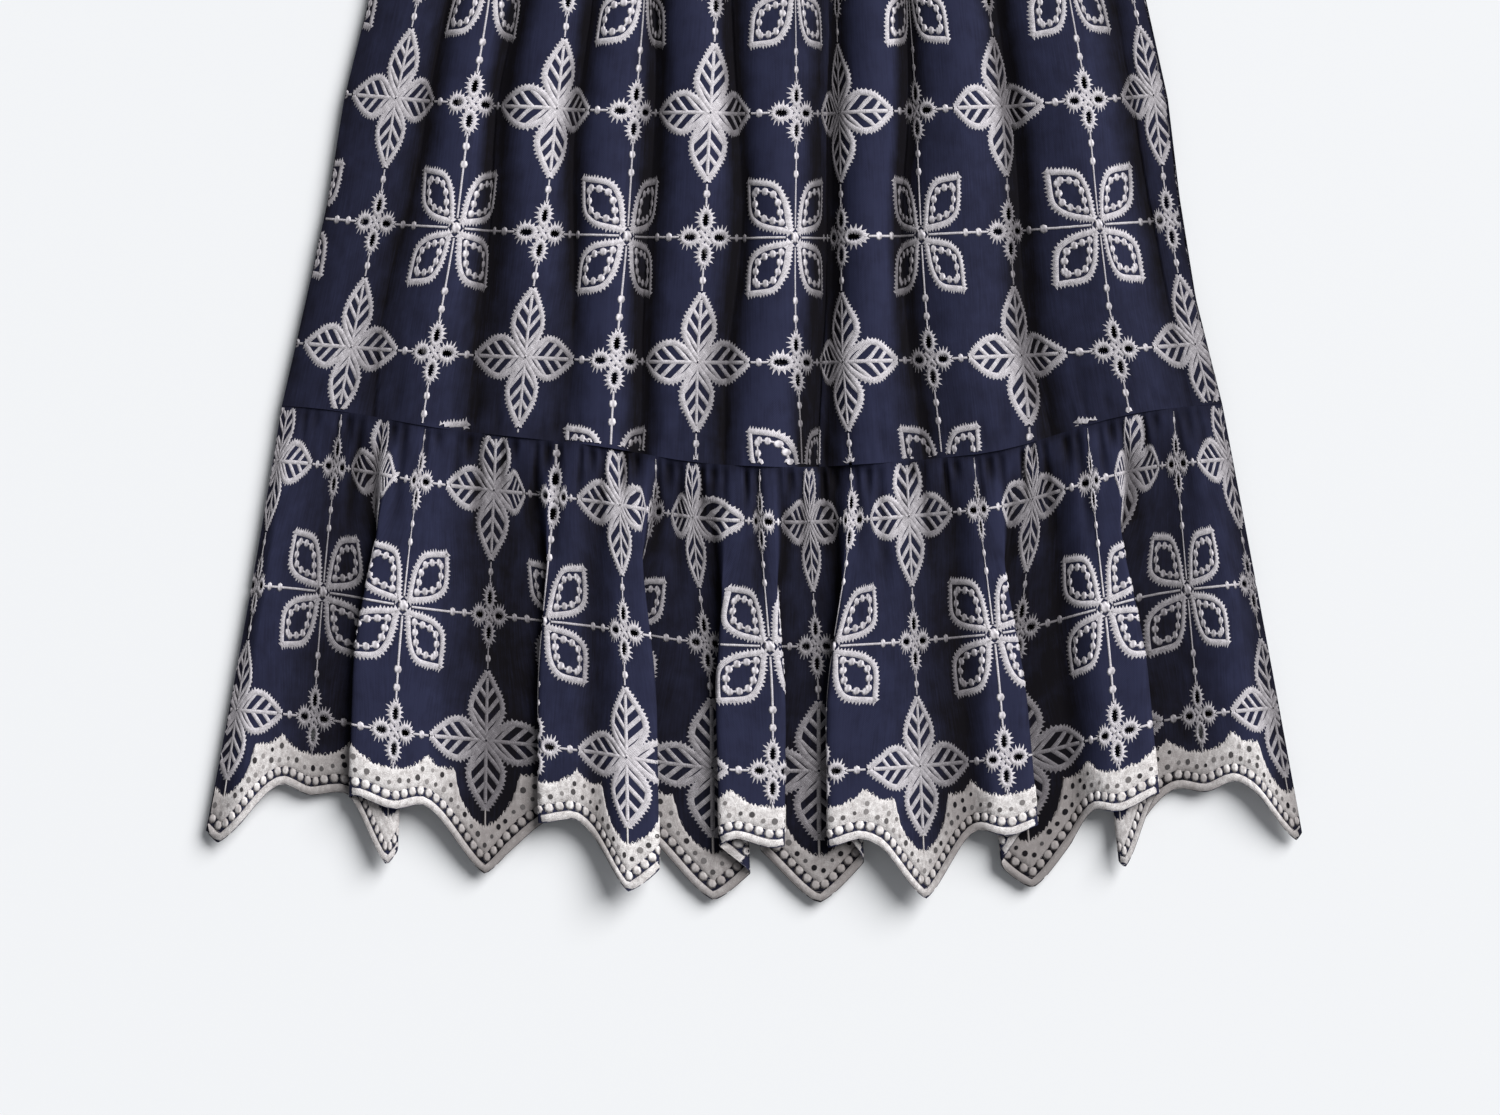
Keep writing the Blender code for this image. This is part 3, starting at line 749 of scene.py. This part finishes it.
# %% The ruffle's back
BACK_PRESS = 0.30           # height of the back's folds against the front's
BACK_BASE = 0.0011          # lowest point of the back's cloth over the table
FOLD_TALL = 0.0105          # height of the front's tallest fold
BACK_DROP = RUFFLE_DROP - BACK_RIDE
back_rows = []
for down in np.linspace(0.0, 1.0, 101):
    x, z, place = ruffle_section(spans[::2], ways[::2], down * BACK_DROP / RUFFLE_DROP)
    y = seam_y(side_x(SIDE_SEAM, -place)) + 0.5 * SEAM_GAP + down * BACK_DROP
    tall = np.clip((z - FRONT_REST) / FOLD_TALL, 0.0, 1.05)
    lowered = BACK_BASE + BACK_PRESS * FOLD_TALL * (1.05 - tall)
    back_rows.append(to_metres(x[0] + x[-1] - x, y, lowered))
# The back faces down, so its painted shade reads its heights turned over, and three times as strong.
back_ruffle = Panel(np.array(back_rows), ruffle_squares[::2], facing=-3.0)
back_level = np.linspace(0.0, 1.0, 70)[:, None]
back_rise_share = hem_rise(back_ruffle.squares)[None, :] / BACK_DROP
back_cut = back_level * (1.0 - smooth(back_level, 0.4, 1.0) * back_rise_share)
ruffle_back = ruffle_sheet("ruffle_back_cloth", back_ruffle, back_cut, BACK_DROP, BACK_RIDE)

# %% The upper tier's back
BACK_LIFT = 0.0022          # height of the back's low gathers
BACK_EDGE = 0.0038          # rise of the back's side edges to the front's


def back_rise(place, down, gathers):
    """Height of a back panel: low gathers, flat where it rests, edges turned up to the front."""
    wave = np.clip(np.cos(np.pi * gathers * (place + 1.0)), 0.0, 1.0) ** 1.5
    fade = np.sin(np.pi * np.clip(down, 0.02, 0.98)) ** 0.5
    edge = np.clip(np.abs(place), 0.0, 1.0) ** 24
    beside_rest = smooth(np.abs(place), 0.25, 0.45)
    return BACK_BASE + BACK_LIFT * wave * fade * beside_rest * (1.0 - edge) + BACK_EDGE * edge


back_place, back_down = np.meshgrid(np.linspace(1.0, -1.0, 241), np.linspace(0.0, 1.0, 81))
back_foot = seam_y(side_x(SIDE_SEAM, back_place)) - 0.5 * SEAM_GAP
back_x = side_x(WAIST_SEAM + back_down * (SIDE_SEAM - WAIST_SEAM), back_place)
back_y = WAIST_SEAM + back_down * (back_foot - WAIST_SEAM)
back_grid = to_metres(back_x, back_y, back_rise(back_place, back_down, 16))
back_squares = np.interp(-back_place[0], UPPER_SQUARES[:, 1], UPPER_SQUARES[:, 0])
back_upper = Panel(back_grid, back_squares, facing=-1.0)
upper_back = upper_sheet("upper_back_cloth", back_upper, back_place, back_y)

# %% The waistband, front and back
BAND_TUCKS = 26             # small gathers that a lined elastic draws into the band
BAND_RIPPLE = 0.0007        # their height in metres
BAND_FLAT = (0.18, 0.038)   # half the band's flat length, and its depth


def waistband_sheet(name, front):
    """One side of the waistband, on a fine grid."""
    ends = (-1.0, 1.0) if front else (1.0, -1.0)
    place, down = np.meshgrid(np.linspace(*ends, 261), np.linspace(0.0, 1.0, 25))
    y = WAIST_TOP + down * (WAIST_SEAM - SEAM_GAP - WAIST_TOP)
    if front:
        uneven = place + 0.02 * np.sin(9.0 * place)
        ripple = np.sin(np.pi * down) ** 0.7 * np.sin(np.pi * BAND_TUCKS * uneven)
        z = upper_height(place, np.zeros_like(place)) + BAND_RIPPLE * ripple * edge_fall(place)
    else:
        z = back_rise(place, down, 12)
    points = to_metres(side_x(y, place), y, z)
    flat = np.stack([place, down], axis=-1) * BAND_FLAT
    # Painted shade from the band's gathers.
    return laid_sheet(name, points, painted_fold_shade(z if front else -z), flat, navy_plain)


band_front = waistband_sheet("waistband_front_cloth", True)
band_back = waistband_sheet("waistband_back_cloth", False)

# %% Each cloth piece stands for its solid
def dress(piece, slot, *nodes):
    """Let a piece ride on the skirt and stand for the named solids. Its slot is not used."""
    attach(piece, "root")
    if nodes:
        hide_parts(*nodes)
    return piece


dress(ruffle_front, "cloth", "ruffle_front")
dress(upper_front, "cloth", "upper_front")
dress(ruffle_back, "cloth", "ruffle_back")
dress(upper_back, "cloth", "upper_back")
dress(band_front, "cloth", "waistband_front")
dress(band_back, "cloth", "waistband_back")

# %% [markdown]
# ## Stitching, drawn flat and then laid on the cloth
# The real embroidery is made flat, before the skirt is sewn, so it is drawn flat here too. A satin band
# is a strip of short stitches laid side by side. Each is a narrow grid bent along its path, with a
# rounded back and, where the thread ends stick out, a toothed edge. A displacement map could not give
# such clean edges. A drawing is a bmesh whose x and y are chart units and whose z is metres of lift. Its
# vertex layer keeps how far along and across the thread each point is, which is what the thread's
# finish reads.

# %% A satin band and a round stitch
THREAD_SINK = -0.00015      # the foot of a stitch in metres, just inside the cloth
OUTLINE_LIFT = 0.00050      # the back of a satin outline, in metres over the cloth
BAND_SIDES = (-1.0, -0.55, 0.55, 1.0)   # the rows of a band's grid, in half widths


def new_drawing():
    """An empty drawing with its layer for distances along and across the thread."""
    drawing = bmesh.new()
    drawing.verts.layers.float_vector.new("stitch")
    return drawing


def fresh_grid(drawing, columns, rows):
    """The vertices of a new grid in a drawing, each with its column and row."""
    made = bmesh.ops.create_grid(drawing, x_segments=columns, y_segments=rows, size=1.0)["verts"]
    for vert in made:
        yield vert, round((vert.co.x + 1.0) / 2.0 * columns), round((vert.co.y + 1.0) / 2.0 * rows)


def satin_band(drawing, path, width, height, outer_teeth=0.0, inner_teeth=0.0, closed=False):
    """A band of stitches along a path, with teeth on its left (outer) or right side."""
    path = np.asarray(path, dtype=float)
    if closed:
        path = np.vstack([path, path[:1]])
    gaps = np.linalg.norm(np.diff(path, axis=0), axis=1)
    along = np.concatenate([[0.0], np.cumsum(gaps)])
    heading = np.gradient(path, along, axis=0)
    if closed:
        heading[0] = heading[-1] = heading[0] + heading[-1]
    heading /= np.linalg.norm(heading, axis=1, keepdims=True) + 1e-9
    left = np.stack([heading[:, 1], -heading[:, 0]], axis=1)
    layer = drawing.verts.layers.float_vector["stitch"]
    for vert, column, row in fresh_grid(drawing, len(path) - 1, 3):
        tooth = (column % 2) * (0.65 + 0.70 * scatter(column, 0.3))
        teeth = {0: -inner_teeth, 3: outer_teeth}.get(row, 0.0)
        side = BAND_SIDES[row] * width + tooth * teeth
        spot = path[column] + left[column] * side
        vert.co = (spot[0], spot[1], THREAD_SINK if row in (0, 3) else height)
        vert[layer] = (along[column] * UNIT, side * UNIT, 0.0)


def round_stitch(drawing, x, y, radius, height):
    """A small raised dot of thread: a blunt cone, wide at its foot."""
    layer = drawing.verts.layers.float_vector["stitch"]
    made = bmesh.ops.create_cone(
        drawing, cap_ends=True, segments=8, radius1=radius, radius2=0.55 * radius, depth=2.0
    )["verts"]
    for vert in made:
        lift = height if vert.co.z > 0.0 else THREAD_SINK
        vert[layer] = (0.2 * vert.co.x * UNIT, (y + 0.2 * vert.co.y) * UNIT, 0.0)
        vert.co = (x + vert.co.x, y + vert.co.y, lift)


def evenly(path, spacing):
    """A path walked again in an even number of equal steps."""
    path = np.asarray(path, dtype=float)
    walked = np.concatenate([[0.0], np.cumsum(np.linalg.norm(np.diff(path, axis=0), axis=1))])
    count = 2 * max(1, int(round(walked[-1] / spacing / 2.0)))
    at = np.linspace(0.0, walked[-1], count + 1)
    return np.stack([np.interp(at, walked, path[:, axis]) for axis in (0, 1)], axis=1)


def straight(start, end, count):
    """Points on a straight line that runs out from a flower's middle."""
    return np.stack([np.linspace(start, end, count), np.zeros(count)], axis=1)


def rounded(path):
    """A path with each of its corners cut twice, its ends kept."""
    for _ in range(2):
        path = np.asarray(path, dtype=float)
        early = 0.75 * path[:-1] + 0.25 * path[1:]
        late = 0.25 * path[:-1] + 0.75 * path[1:]
        path = np.vstack([path[:1], np.stack([early, late], axis=1).reshape(-1, 2), path[-1:]])
    return path


def turned(path, quarter, diagonal=False):
    """A path turned by quarters of a circle, and by another eighth for a diagonal petal."""
    angle = quarter * np.pi / 2.0 + (np.pi / 4.0 if diagonal else 0.0)
    turn = np.array([[np.cos(angle), np.sin(angle)], [-np.sin(angle), np.cos(angle)]])
    return np.asarray(path, dtype=float) @ turn


def toothed_edge(drawing, edge, side, quarter, diagonal, step, width, teeth):
    """One side of a petal's outline, with thread ends that stick out of the petal."""
    path = evenly(turned(rounded(edge) * (1.0, side), quarter, diagonal), step)
    teeth = {"outer_teeth" if side < 0.0 else "inner_teeth": teeth}
    satin_band(drawing, path, width, OUTLINE_LIFT, **teeth)


# %% [markdown]
# ### The leaf flower
# Four pointed leaves meet in a cross. Each has a satin outline, a midrib and three pairs of veins that
# run out towards its tip, with bare cloth between them, which gives it large dark cells.

# %% Draw the leaf flower
LEAF_EDGE = np.array([      # middle of a leaf's outline: units out from the flower's middle, half width
    (4, 0), (11, 7.8), (19, 14.4), (28, 18.8), (36, 19.2), (45, 15.8), (53, 11),
    (61, 5.4), (68, 0),
])
VEIN_STARTS = (12.0, 27.0, 42.0)
VEIN_LEAN = (0.72, 0.69)    # how far a vein goes out and aside in each unit of its length


def leaf_flower(tooth):
    """Drawing of a leaf flower, with one tooth of thread in each given number of units."""
    drawing = new_drawing()
    for quarter in range(4):
        for side in (1.0, -1.0):
            toothed_edge(drawing, LEAF_EDGE, side, quarter, False, tooth / 2.0, width=3.2, teeth=3.0)
            for start in VEIN_STARTS:
                reach = 3.0
                while reach * VEIN_LEAN[1] < np.interp(start + VEIN_LEAN[0] * reach, *LEAF_EDGE.T) - 1.5:
                    reach += 0.5
                lengths = np.linspace(0.0, reach, 4)
                vein = np.stack([start + VEIN_LEAN[0] * lengths, side * VEIN_LEAN[1] * lengths], axis=1)
                satin_band(drawing, turned(vein, quarter), width=2.5, height=0.00040)
        midrib = turned(straight(1.0, 62.0, 12), quarter)
        satin_band(drawing, midrib, width=2.2, height=0.00045)
    return drawing


# %% [markdown]
# ### The petal flower
# Four petals on the diagonals, each rounded inside and square at its outer corner. A ring of small dots
# lies in each, and a little star with four spokes joins them.

# %% Draw the petal flower
PETAL_EDGE = np.array([     # middle of a petal's outline: units out along the diagonal, half width
    (8, 0), (15, 4.6), (22, 10), (30, 15.4), (39, 19.4), (48, 20.9), (56, 18.8),
    (64, 12.6), (71, 6.6), (80, -1.2),
])
PETAL_MIDDLE = np.array([44.0, 0.0])
DOT_RING = 0.64             # size of the ring of dots against the petal


def petal_flower(tooth):
    """Drawing of a petal flower."""
    drawing = new_drawing()
    for quarter in range(4):
        for side in (1.0, -1.0):
            toothed_edge(drawing, PETAL_EDGE, side, quarter, True, tooth / 2.0, width=3.0, teeth=3.4)
        half = (rounded(PETAL_EDGE) - PETAL_MIDDLE) * DOT_RING + PETAL_MIDDLE
        loop = turned(evenly(np.vstack([half, half[::-1] * (1.0, -1.0)]), 4.9), quarter, True)
        satin_band(drawing, loop, width=1.2, height=0.00040)
        for x, y in loop[:-1:2]:
            round_stitch(drawing, x, y, radius=4.6, height=0.00060)
        spoke = turned(straight(3.0, 15.0, 3), quarter, True)
        satin_band(drawing, spoke, width=1.6, height=0.00045)
    round_stitch(drawing, 0.0, 0.0, radius=6.5, height=0.00065)
    return drawing


# %% [markdown]
# ### The eyelet cross
# Four slits are punched in a cross and oversewn with rays of thread, so each is a ring with deep teeth.
# Dots and thin lines lead from it to its neighbours: one dot towards a leaf, two towards a petal.

# %% Draw the eyelet cross
EYELET_RING = (9.2, 6.2)    # half length and half width of the ring sewn round an eyelet
RAYS = {"outer_teeth": 6.0, "inner_teeth": 1.4}


def eyelet_cross(tooth, leaves_beside):
    """Drawing of an eyelet cross. Its leaf flowers stand beside it, or above and below it."""
    drawing = new_drawing()
    count = 32 if tooth < 4.0 else 20     # two for each ray
    angles = np.arange(count) * 2.0 * np.pi / count
    ring = np.stack([np.cos(angles), np.sin(angles)], axis=1) * EYELET_RING + (EYELET_OUT * PITCH, 0.0)
    for quarter in range(4):
        satin_band(drawing, turned(ring, quarter), 2.2, OUTLINE_LIFT, closed=True, **RAYS)
        to_leaf = (quarter % 2 == 0) == leaves_beside
        line = straight(30.0, 53.0, 8) if to_leaf else straight(30.0, 114.0, 20)
        satin_band(drawing, turned(line, quarter), width=1.3, height=0.00040)
        for out in (43.0,) if to_leaf else (43.0, 61.0):
            round_stitch(drawing, *turned((out, 0.0), quarter), radius=5.0, height=0.00060)
    for quarter in (0, 1):
        middle = turned(straight(-9.0, 9.0, 3), quarter, True)
        satin_band(drawing, middle, 2.6, OUTLINE_LIFT)
    return drawing


# %% [markdown]
# ### Sewing the drawings on
# A drawing is copied to every place of its kind on the trellis, and each of its points is then looked
# up on the folded cloth. Faces that would pass a seam or a side edge are left out, as the seam hides
# them on the real skirt.

# %% Copies of a drawing, laid on a panel
def drawing_arrays(drawing):
    """Points, stitch distances and triangles of a drawing."""
    bmesh.ops.triangulate(drawing, faces=drawing.faces)
    layer = drawing.verts.layers.float_vector["stitch"]
    drawing.verts.index_update()
    points = np.array([tuple(vert.co) for vert in drawing.verts])
    stitch = np.array([tuple(vert[layer])[:2] for vert in drawing.verts])
    faces = np.array([[vert.index for vert in face.verts] for face in drawing.faces])
    drawing.free()
    return points, stitch, faces


def sewn_mesh(name, points, painted_shade, stitch, faces, material):
    """One piece from arrays of many small stitches, without the points that no face uses."""
    used = np.zeros(len(points), dtype=bool)
    used[faces.ravel()] = True
    faces = (np.cumsum(used) - 1)[faces]
    mesh = bpy.data.meshes.new(name)
    mesh.vertices.add(int(used.sum()))
    mesh.vertices.foreach_set("co", points[used].ravel())
    mesh.loops.add(faces.size)
    mesh.loops.foreach_set("vertex_index", faces.ravel())
    mesh.polygons.add(len(faces))
    mesh.polygons.foreach_set("loop_start", np.arange(0, faces.size, 3))
    mesh.update(calc_edges=True)
    return cloth_object(mesh, stitch[used], painted_shade[used], material)


def sew(name, drawing, centres, lay, material):
    """Copy a drawing to centres in squares across and chart units down, and lay it on the cloth."""
    shape, stitch, faces = drawing
    squares = (centres[:, :1] + shape[None, :, 0] / PITCH).ravel()
    units = (centres[:, 1:] + shape[None, :, 1]).ravel()
    (points, painted_shade), keep = lay(squares, units, np.tile(shape[:, 2], len(centres)))
    first = (np.arange(len(centres)) * len(shape))[:, None, None]
    all_faces = (faces[None] + first).reshape(-1, 3)
    all_faces = all_faces[keep[all_faces].all(axis=1)]
    return sewn_mesh(name, points, painted_shade, np.tile(stitch, (len(centres), 1)), all_faces, material)


# %% Where a stitch lies on each panel
BAND_INNER = np.array([     # squares from a leaf flower, units below the hem row
    (0.00, 86), (0.06, 83), (0.12, 77), (0.18, 69), (0.23, 58), (0.26, 46), (0.29, 31),
    (0.36, 32), (0.47, 30), (0.58, 20), (0.68, 29), (0.80, 35), (1.00, 37),
])
SEAM_MARGIN = 0.002         # share of a panel at its seams that stays bare
MEAN_SEAM = 440.0           # chart y of the lower seam on the whole


def band_inner(squares):
    """Chart units from the hem row's middle down to the hem band's inner edge."""
    return np.interp(off_leaf(squares), *BAND_INNER.T)


def lay_on_ruffle(panel, drop):
    """A lookup for stitches on a ruffle: chart units down from its first row of flowers."""
    def lay(squares, units, lift):
        down = (units + RUFFLE_FIRST_ROW - RUFFLE_DROP + drop) / drop
        on_folds = widened(squares, units / PITCH)
        keep = (down > SEAM_MARGIN) & (units < 2.0 * PITCH + band_inner(squares) + 2.0)
        keep &= (on_folds > panel.squares[0]) & (on_folds < panel.squares[-1])
        return panel.at(on_folds, down, lift), keep
    return lay


def lay_on_upper(panel, place_of):
    """A lookup for stitches on an upper panel: chart units down from its last whole row."""
    def lay(squares, units, lift):
        place = place_of(squares, units)
        y = UPPER_LAST_ROW + units + UPPER_SAG * (1.0 - place**2)
        foot = seam_y(side_x(SIDE_SEAM, place)) - 0.5 * SEAM_GAP
        down = (y - WAIST_SEAM) / (foot - WAIST_SEAM)
        keep = (down > SEAM_MARGIN) & (down < 1.0 - SEAM_MARGIN)
        keep &= (squares > panel.squares[0]) & (squares < panel.squares[-1])
        return panel.at(squares, down, lift), keep
    return lay


def front_place(squares, units):
    """Place of a stitch on the front's upper tier, read from its lattice."""
    down = (UPPER_LAST_ROW + units + 0.5 * UPPER_SAG - WAIST_SEAM) / (MEAN_SEAM - WAIST_SEAM)
    row = np.rint(np.clip(down, 0.0, 1.0) * (UPPER_ROWS - 1)).astype(int)
    column = np.interp(squares, upper_squares, np.arange(UPPER_COLUMNS))
    return upper_place[row, np.rint(column).astype(int)]


def back_place_of(squares, _units):
    """Place of a stitch on the back's upper tier, counted from its own left side."""
    return np.interp(squares, *UPPER_SQUARES.T)


lay_ruffle = lay_on_ruffle(ruffle, RUFFLE_DROP)
lay_upper = lay_on_upper(upper, front_place)
lay_back_ruffle = lay_on_ruffle(back_ruffle, BACK_DROP)
lay_back_upper = lay_on_upper(back_upper, back_place_of)
print("hem band starts below its row by", band_inner(np.array([0.0, 0.5, 1.0])), "units")

# %% Embroider the front
KINDS = {"leaves": (0, 0), "petals": (1, 1), "beside": (1, 0), "above": (0, 1)}   # odd squares, odd rows
RUFFLE_PART = (range(0, 3), range(0, 19))
UPPER_PART = (range(-6, 2), range(-1, 12))
FRONT_TOOTH = 3.8
BACK_TOOTH = 6.0


def trellis_drawings(tooth):
    """The four motifs' arrays: flowers, and crosses with leaf flowers beside or above them."""
    made = (leaf_flower(tooth), petal_flower(tooth), eyelet_cross(tooth, True), eyelet_cross(tooth, False))
    drawings = {kind: drawing_arrays(drawing) for kind, drawing in zip(KINDS, made)}
    for kind, drawing in drawings.items():
        print(kind, len(drawing[2]), "triangles each")
    return drawings


def embroider(panel_name, lay, part, drawings):
    """Sew every kind of motif on one panel, one piece for each kind."""
    rows, columns = part
    pieces = []
    for kind, drawing in drawings.items():
        odd_square, odd_row = KINDS[kind]
        spots = [
            (square, row * PITCH)
            for row in rows if row % 2 == odd_row
            for square in columns if square % 2 == odd_square
        ]
        piece = sew(f"{panel_name}_{kind}", drawing, np.array(spots, dtype=float), lay, flower_thread)
        pieces.append(dress(piece, "cloth"))
    return pieces


front_drawings = trellis_drawings(FRONT_TOOTH)
ruffle_stitching = embroider("ruffle_front", lay_ruffle, RUFFLE_PART, front_drawings)
upper_stitching = embroider("upper_front", lay_upper, UPPER_PART, front_drawings)

# %% Embroider the back, with fewer stitches in each band as it is seen less
back_drawings = trellis_drawings(BACK_TOOTH)
back_ruffle_stitching = embroider("ruffle_back", lay_back_ruffle, RUFFLE_PART, back_drawings)
back_upper_stitching = embroider("upper_back", lay_back_upper, UPPER_PART, back_drawings)

# %% [markdown]
# ### The hem band
# A heavy band of cream stitching follows the scallops. From the edge inwards it is a cord, a row of
# dots close beside it, and dense filling that is pricked with tiny eyelets. Its inner edge curves round
# each leaf flower. All of these lines run at set distances inside the hem, so each is found by sliding
# the hem's outline inwards as a rolling disc would.

# %% Lines at a distance inside the hem
hem_length = (ruffle_squares[-1] - ruffle_squares[0]) * PITCH
hem_squares = np.arange(0.0, hem_length, 1.0) / PITCH + ruffle_squares[0]
hem_edge = RUFFLE_DROP - hem_rise(hem_squares)


def inside_hem(distance):
    """Chart units below the seam of the line at a distance inside the hem."""
    reach = int(distance)
    wide = np.pad(hem_edge, reach, mode="edge")
    line = hem_edge - distance
    for step in range(-reach, reach + 1):
        shifted = wide[reach + step:reach + step + len(hem_edge)]
        line = np.minimum(line, shifted - np.sqrt(distance**2 - step**2))
    return line


def hem_line(distance, spacing):
    """Points along that line, evenly spaced, as units across and units below the seam."""
    return evenly(np.stack([hem_squares * PITCH, inside_hem(distance)], axis=1), spacing)


print("hem", round(hem_length * UNIT, 3), "metres along")

# %% Draw and sew the hem band
HEM_ROW = RUFFLE_FIRST_ROW + 2.0 * PITCH    # units from the seam to the middle of the hem row
CORD_IN, DOTS_IN, FILL_IN = 4.4, 13.7, 18.0     # units inside the hem of the cord, the dots and the filling
FILL_ROWS = (0.0, 0.06, 0.28, 0.50, 0.72, 0.92, 1.0)    # rows of the filling, from the outer edge in
PRICK_LINES = ((25.5, 6.2), (36.5, 6.9))    # units inside the hem, spacing of the half steps
PRICK_LIFT = 0.00086        # metres, just over the highest thread of the filling


def hem_drawing(tooth):
    """Drawing of the cord and the dots, and of the filling as a grid with a rough surface."""
    drawing = new_drawing()
    satin_band(drawing, hem_line(CORD_IN, 2.0 * tooth), width=3.9, height=0.00075)
    for x, y in hem_line(DOTS_IN, 5.6)[1:-1:2]:
        round_stitch(drawing, x, y, radius=5.2, height=0.00065)
    layer = drawing.verts.layers.float_vector["stitch"]
    count = 2 * int((hem_squares[-1] - hem_squares[0]) * PITCH / tooth)
    columns = np.linspace(hem_squares[0], hem_squares[-1], count + 1)
    outer = np.interp(columns, hem_squares, inside_hem(FILL_IN))
    inner = HEM_ROW + band_inner(unwidened(columns, 2.0))
    for vert, column, row in fresh_grid(drawing, count, 6):
        rough = scatter(column, 0.17 + 0.31 * row)
        end = min(inner[column] - 4.5 * rough * (column % 2), outer[column] - 2.0)
        y = outer[column] + FILL_ROWS[row] * (end - outer[column]) + (1.5 * rough if row == 0 else 0.0)
        lift = THREAD_SINK if row in (0, 6) else 0.00045 + 0.00036 * rough
        vert.co = (columns[column] * PITCH, y, lift)
        vert[layer] = (columns[column] * PITCH * UNIT, y * UNIT, 0.0)
    for square in range(2 * int(np.ceil(hem_squares[0] / 2.0)), int(hem_squares[-1]) + 1, 2):
        stem = [(square * PITCH, HEM_ROW + below) for below in (66.0, 72.0, 78.0, 84.0, 90.0)]
        satin_band(drawing, stem, width=1.2, height=0.00045)
    return drawing


def prick_drawing():
    """Drawing of the tiny eyelets in the filling, as small discs of painted shadow of several sizes."""
    drawing = new_drawing()
    layer = drawing.verts.layers.float_vector["stitch"]
    for distance, spacing in PRICK_LINES:
        for number, (x, y) in enumerate(hem_line(distance, spacing)[1::2]):
            inner = HEM_ROW + band_inner(unwidened(x / PITCH, 2.0))
            y += 4.0 * scatter(number, 0.71 + distance) - 2.0
            if y > inner + 6.0:
                radius = 2.0 + 1.3 * scatter(number, 0.37 + distance)
                made = bmesh.ops.create_circle(drawing, cap_ends=True, segments=9, radius=radius)["verts"]
                bmesh.ops.translate(drawing, verts=made, vec=(x, y, PRICK_LIFT))
                for vert in made:
                    vert[layer] = (x * UNIT, y * UNIT, 0.0)
    return drawing


def sew_hem(name, drawing, panel, drop, thread, side=1.0):
    """Lay the hem band's drawing on a ruffle, or with a negative side on the inside of its cloth."""
    points, stitch, faces = drawing_arrays(drawing)
    down = (points[:, 1] - RUFFLE_DROP + drop) / drop
    squares = points[:, 0] / PITCH
    keep = (squares >= panel.squares[0]) & (squares <= panel.squares[-1])
    laid, painted_shade = panel.at(squares, down, side * points[:, 2])
    return dress(sewn_mesh(name, laid, painted_shade, stitch, faces[keep[faces].all(axis=1)], thread), "cloth")


front_hem = [
    sew_hem("hem_band_front", hem_drawing(FRONT_TOOTH), ruffle, RUFFLE_DROP, hem_thread),
    sew_hem("hem_eyelet_shadow_front", prick_drawing(), ruffle, RUFFLE_DROP, hem_eyelet_shadow),
    sew_hem("hem_band_inside", hem_drawing(BACK_TOOTH), ruffle, RUFFLE_DROP, hem_thread, -0.5),
]
back_hem = [
    sew_hem("hem_band_back", hem_drawing(BACK_TOOTH), back_ruffle, BACK_DROP, hem_thread),
    sew_hem("hem_eyelet_shadow_back", prick_drawing(), back_ruffle, BACK_DROP, hem_eyelet_shadow),
]

# %% [markdown]

# %% [markdown]
# ## Table, light and camera
# The skirt lies on a plain pale table. The photograph was lit by a large soft light from above and a
# little to the left, with a bright room round it, so the shadows under the hem are short and soft. The
# camera is straight above, far enough away that the skirt is hardly in perspective.

# %% The table
bm = bmesh.new()
bmesh.ops.create_grid(bm, x_segments=1, y_segments=1, size=3.0)
table_mesh = bpy.data.meshes.new("table")
bm.to_mesh(table_mesh)
bm.free()
table = new_object("table", table_mesh)
table_paint = bpy.data.materials.new("pale_table")
table_paint.use_nodes = True
table_shader = table_paint.node_tree.nodes["Principled BSDF"]
table_shader.inputs["Base Color"].default_value = (0.86, 0.87, 0.885, 1.0)
table_shader.inputs["Roughness"].default_value = 0.7
table_mesh.materials.append(table_paint)

# %% Soft studio light
SUN_HEADING = (-0.62, -0.57, -0.66)     # which way the light travels
sun = bpy.data.lights.new("window", "SUN")
sun.energy = 4.35
sun.angle = 0.70
window = new_object("window", sun)
window.rotation_euler = Vector(SUN_HEADING).to_track_quat("-Z", "Y").to_euler()
room = bpy.data.worlds.new("room")
room.use_nodes = True
room.node_tree.nodes["Background"].inputs["Color"].default_value = (0.93, 0.96, 1.0, 1.0)
room.node_tree.nodes["Background"].inputs["Strength"].default_value = 0.20
bpy.context.scene.world = room
bpy.context.scene.view_settings.view_transform = "Standard"

# %% The camera
CAMERA_HEIGHT = 2.6
VIEW_MIDDLE = (750.0, 557.5)    # chart point under the camera
VIEW_WIDTH = 1500 * UNIT
camera = bpy.data.cameras.new("camera")
camera.sensor_width = 36.0
camera.lens = 36.0 * CAMERA_HEIGHT / VIEW_WIDTH
camera_holder = new_object("camera", camera)
camera_holder.location = (*to_metres(*VIEW_MIDDLE, 0.0)[:2], CAMERA_HEIGHT)
bpy.context.scene.camera = camera_holder
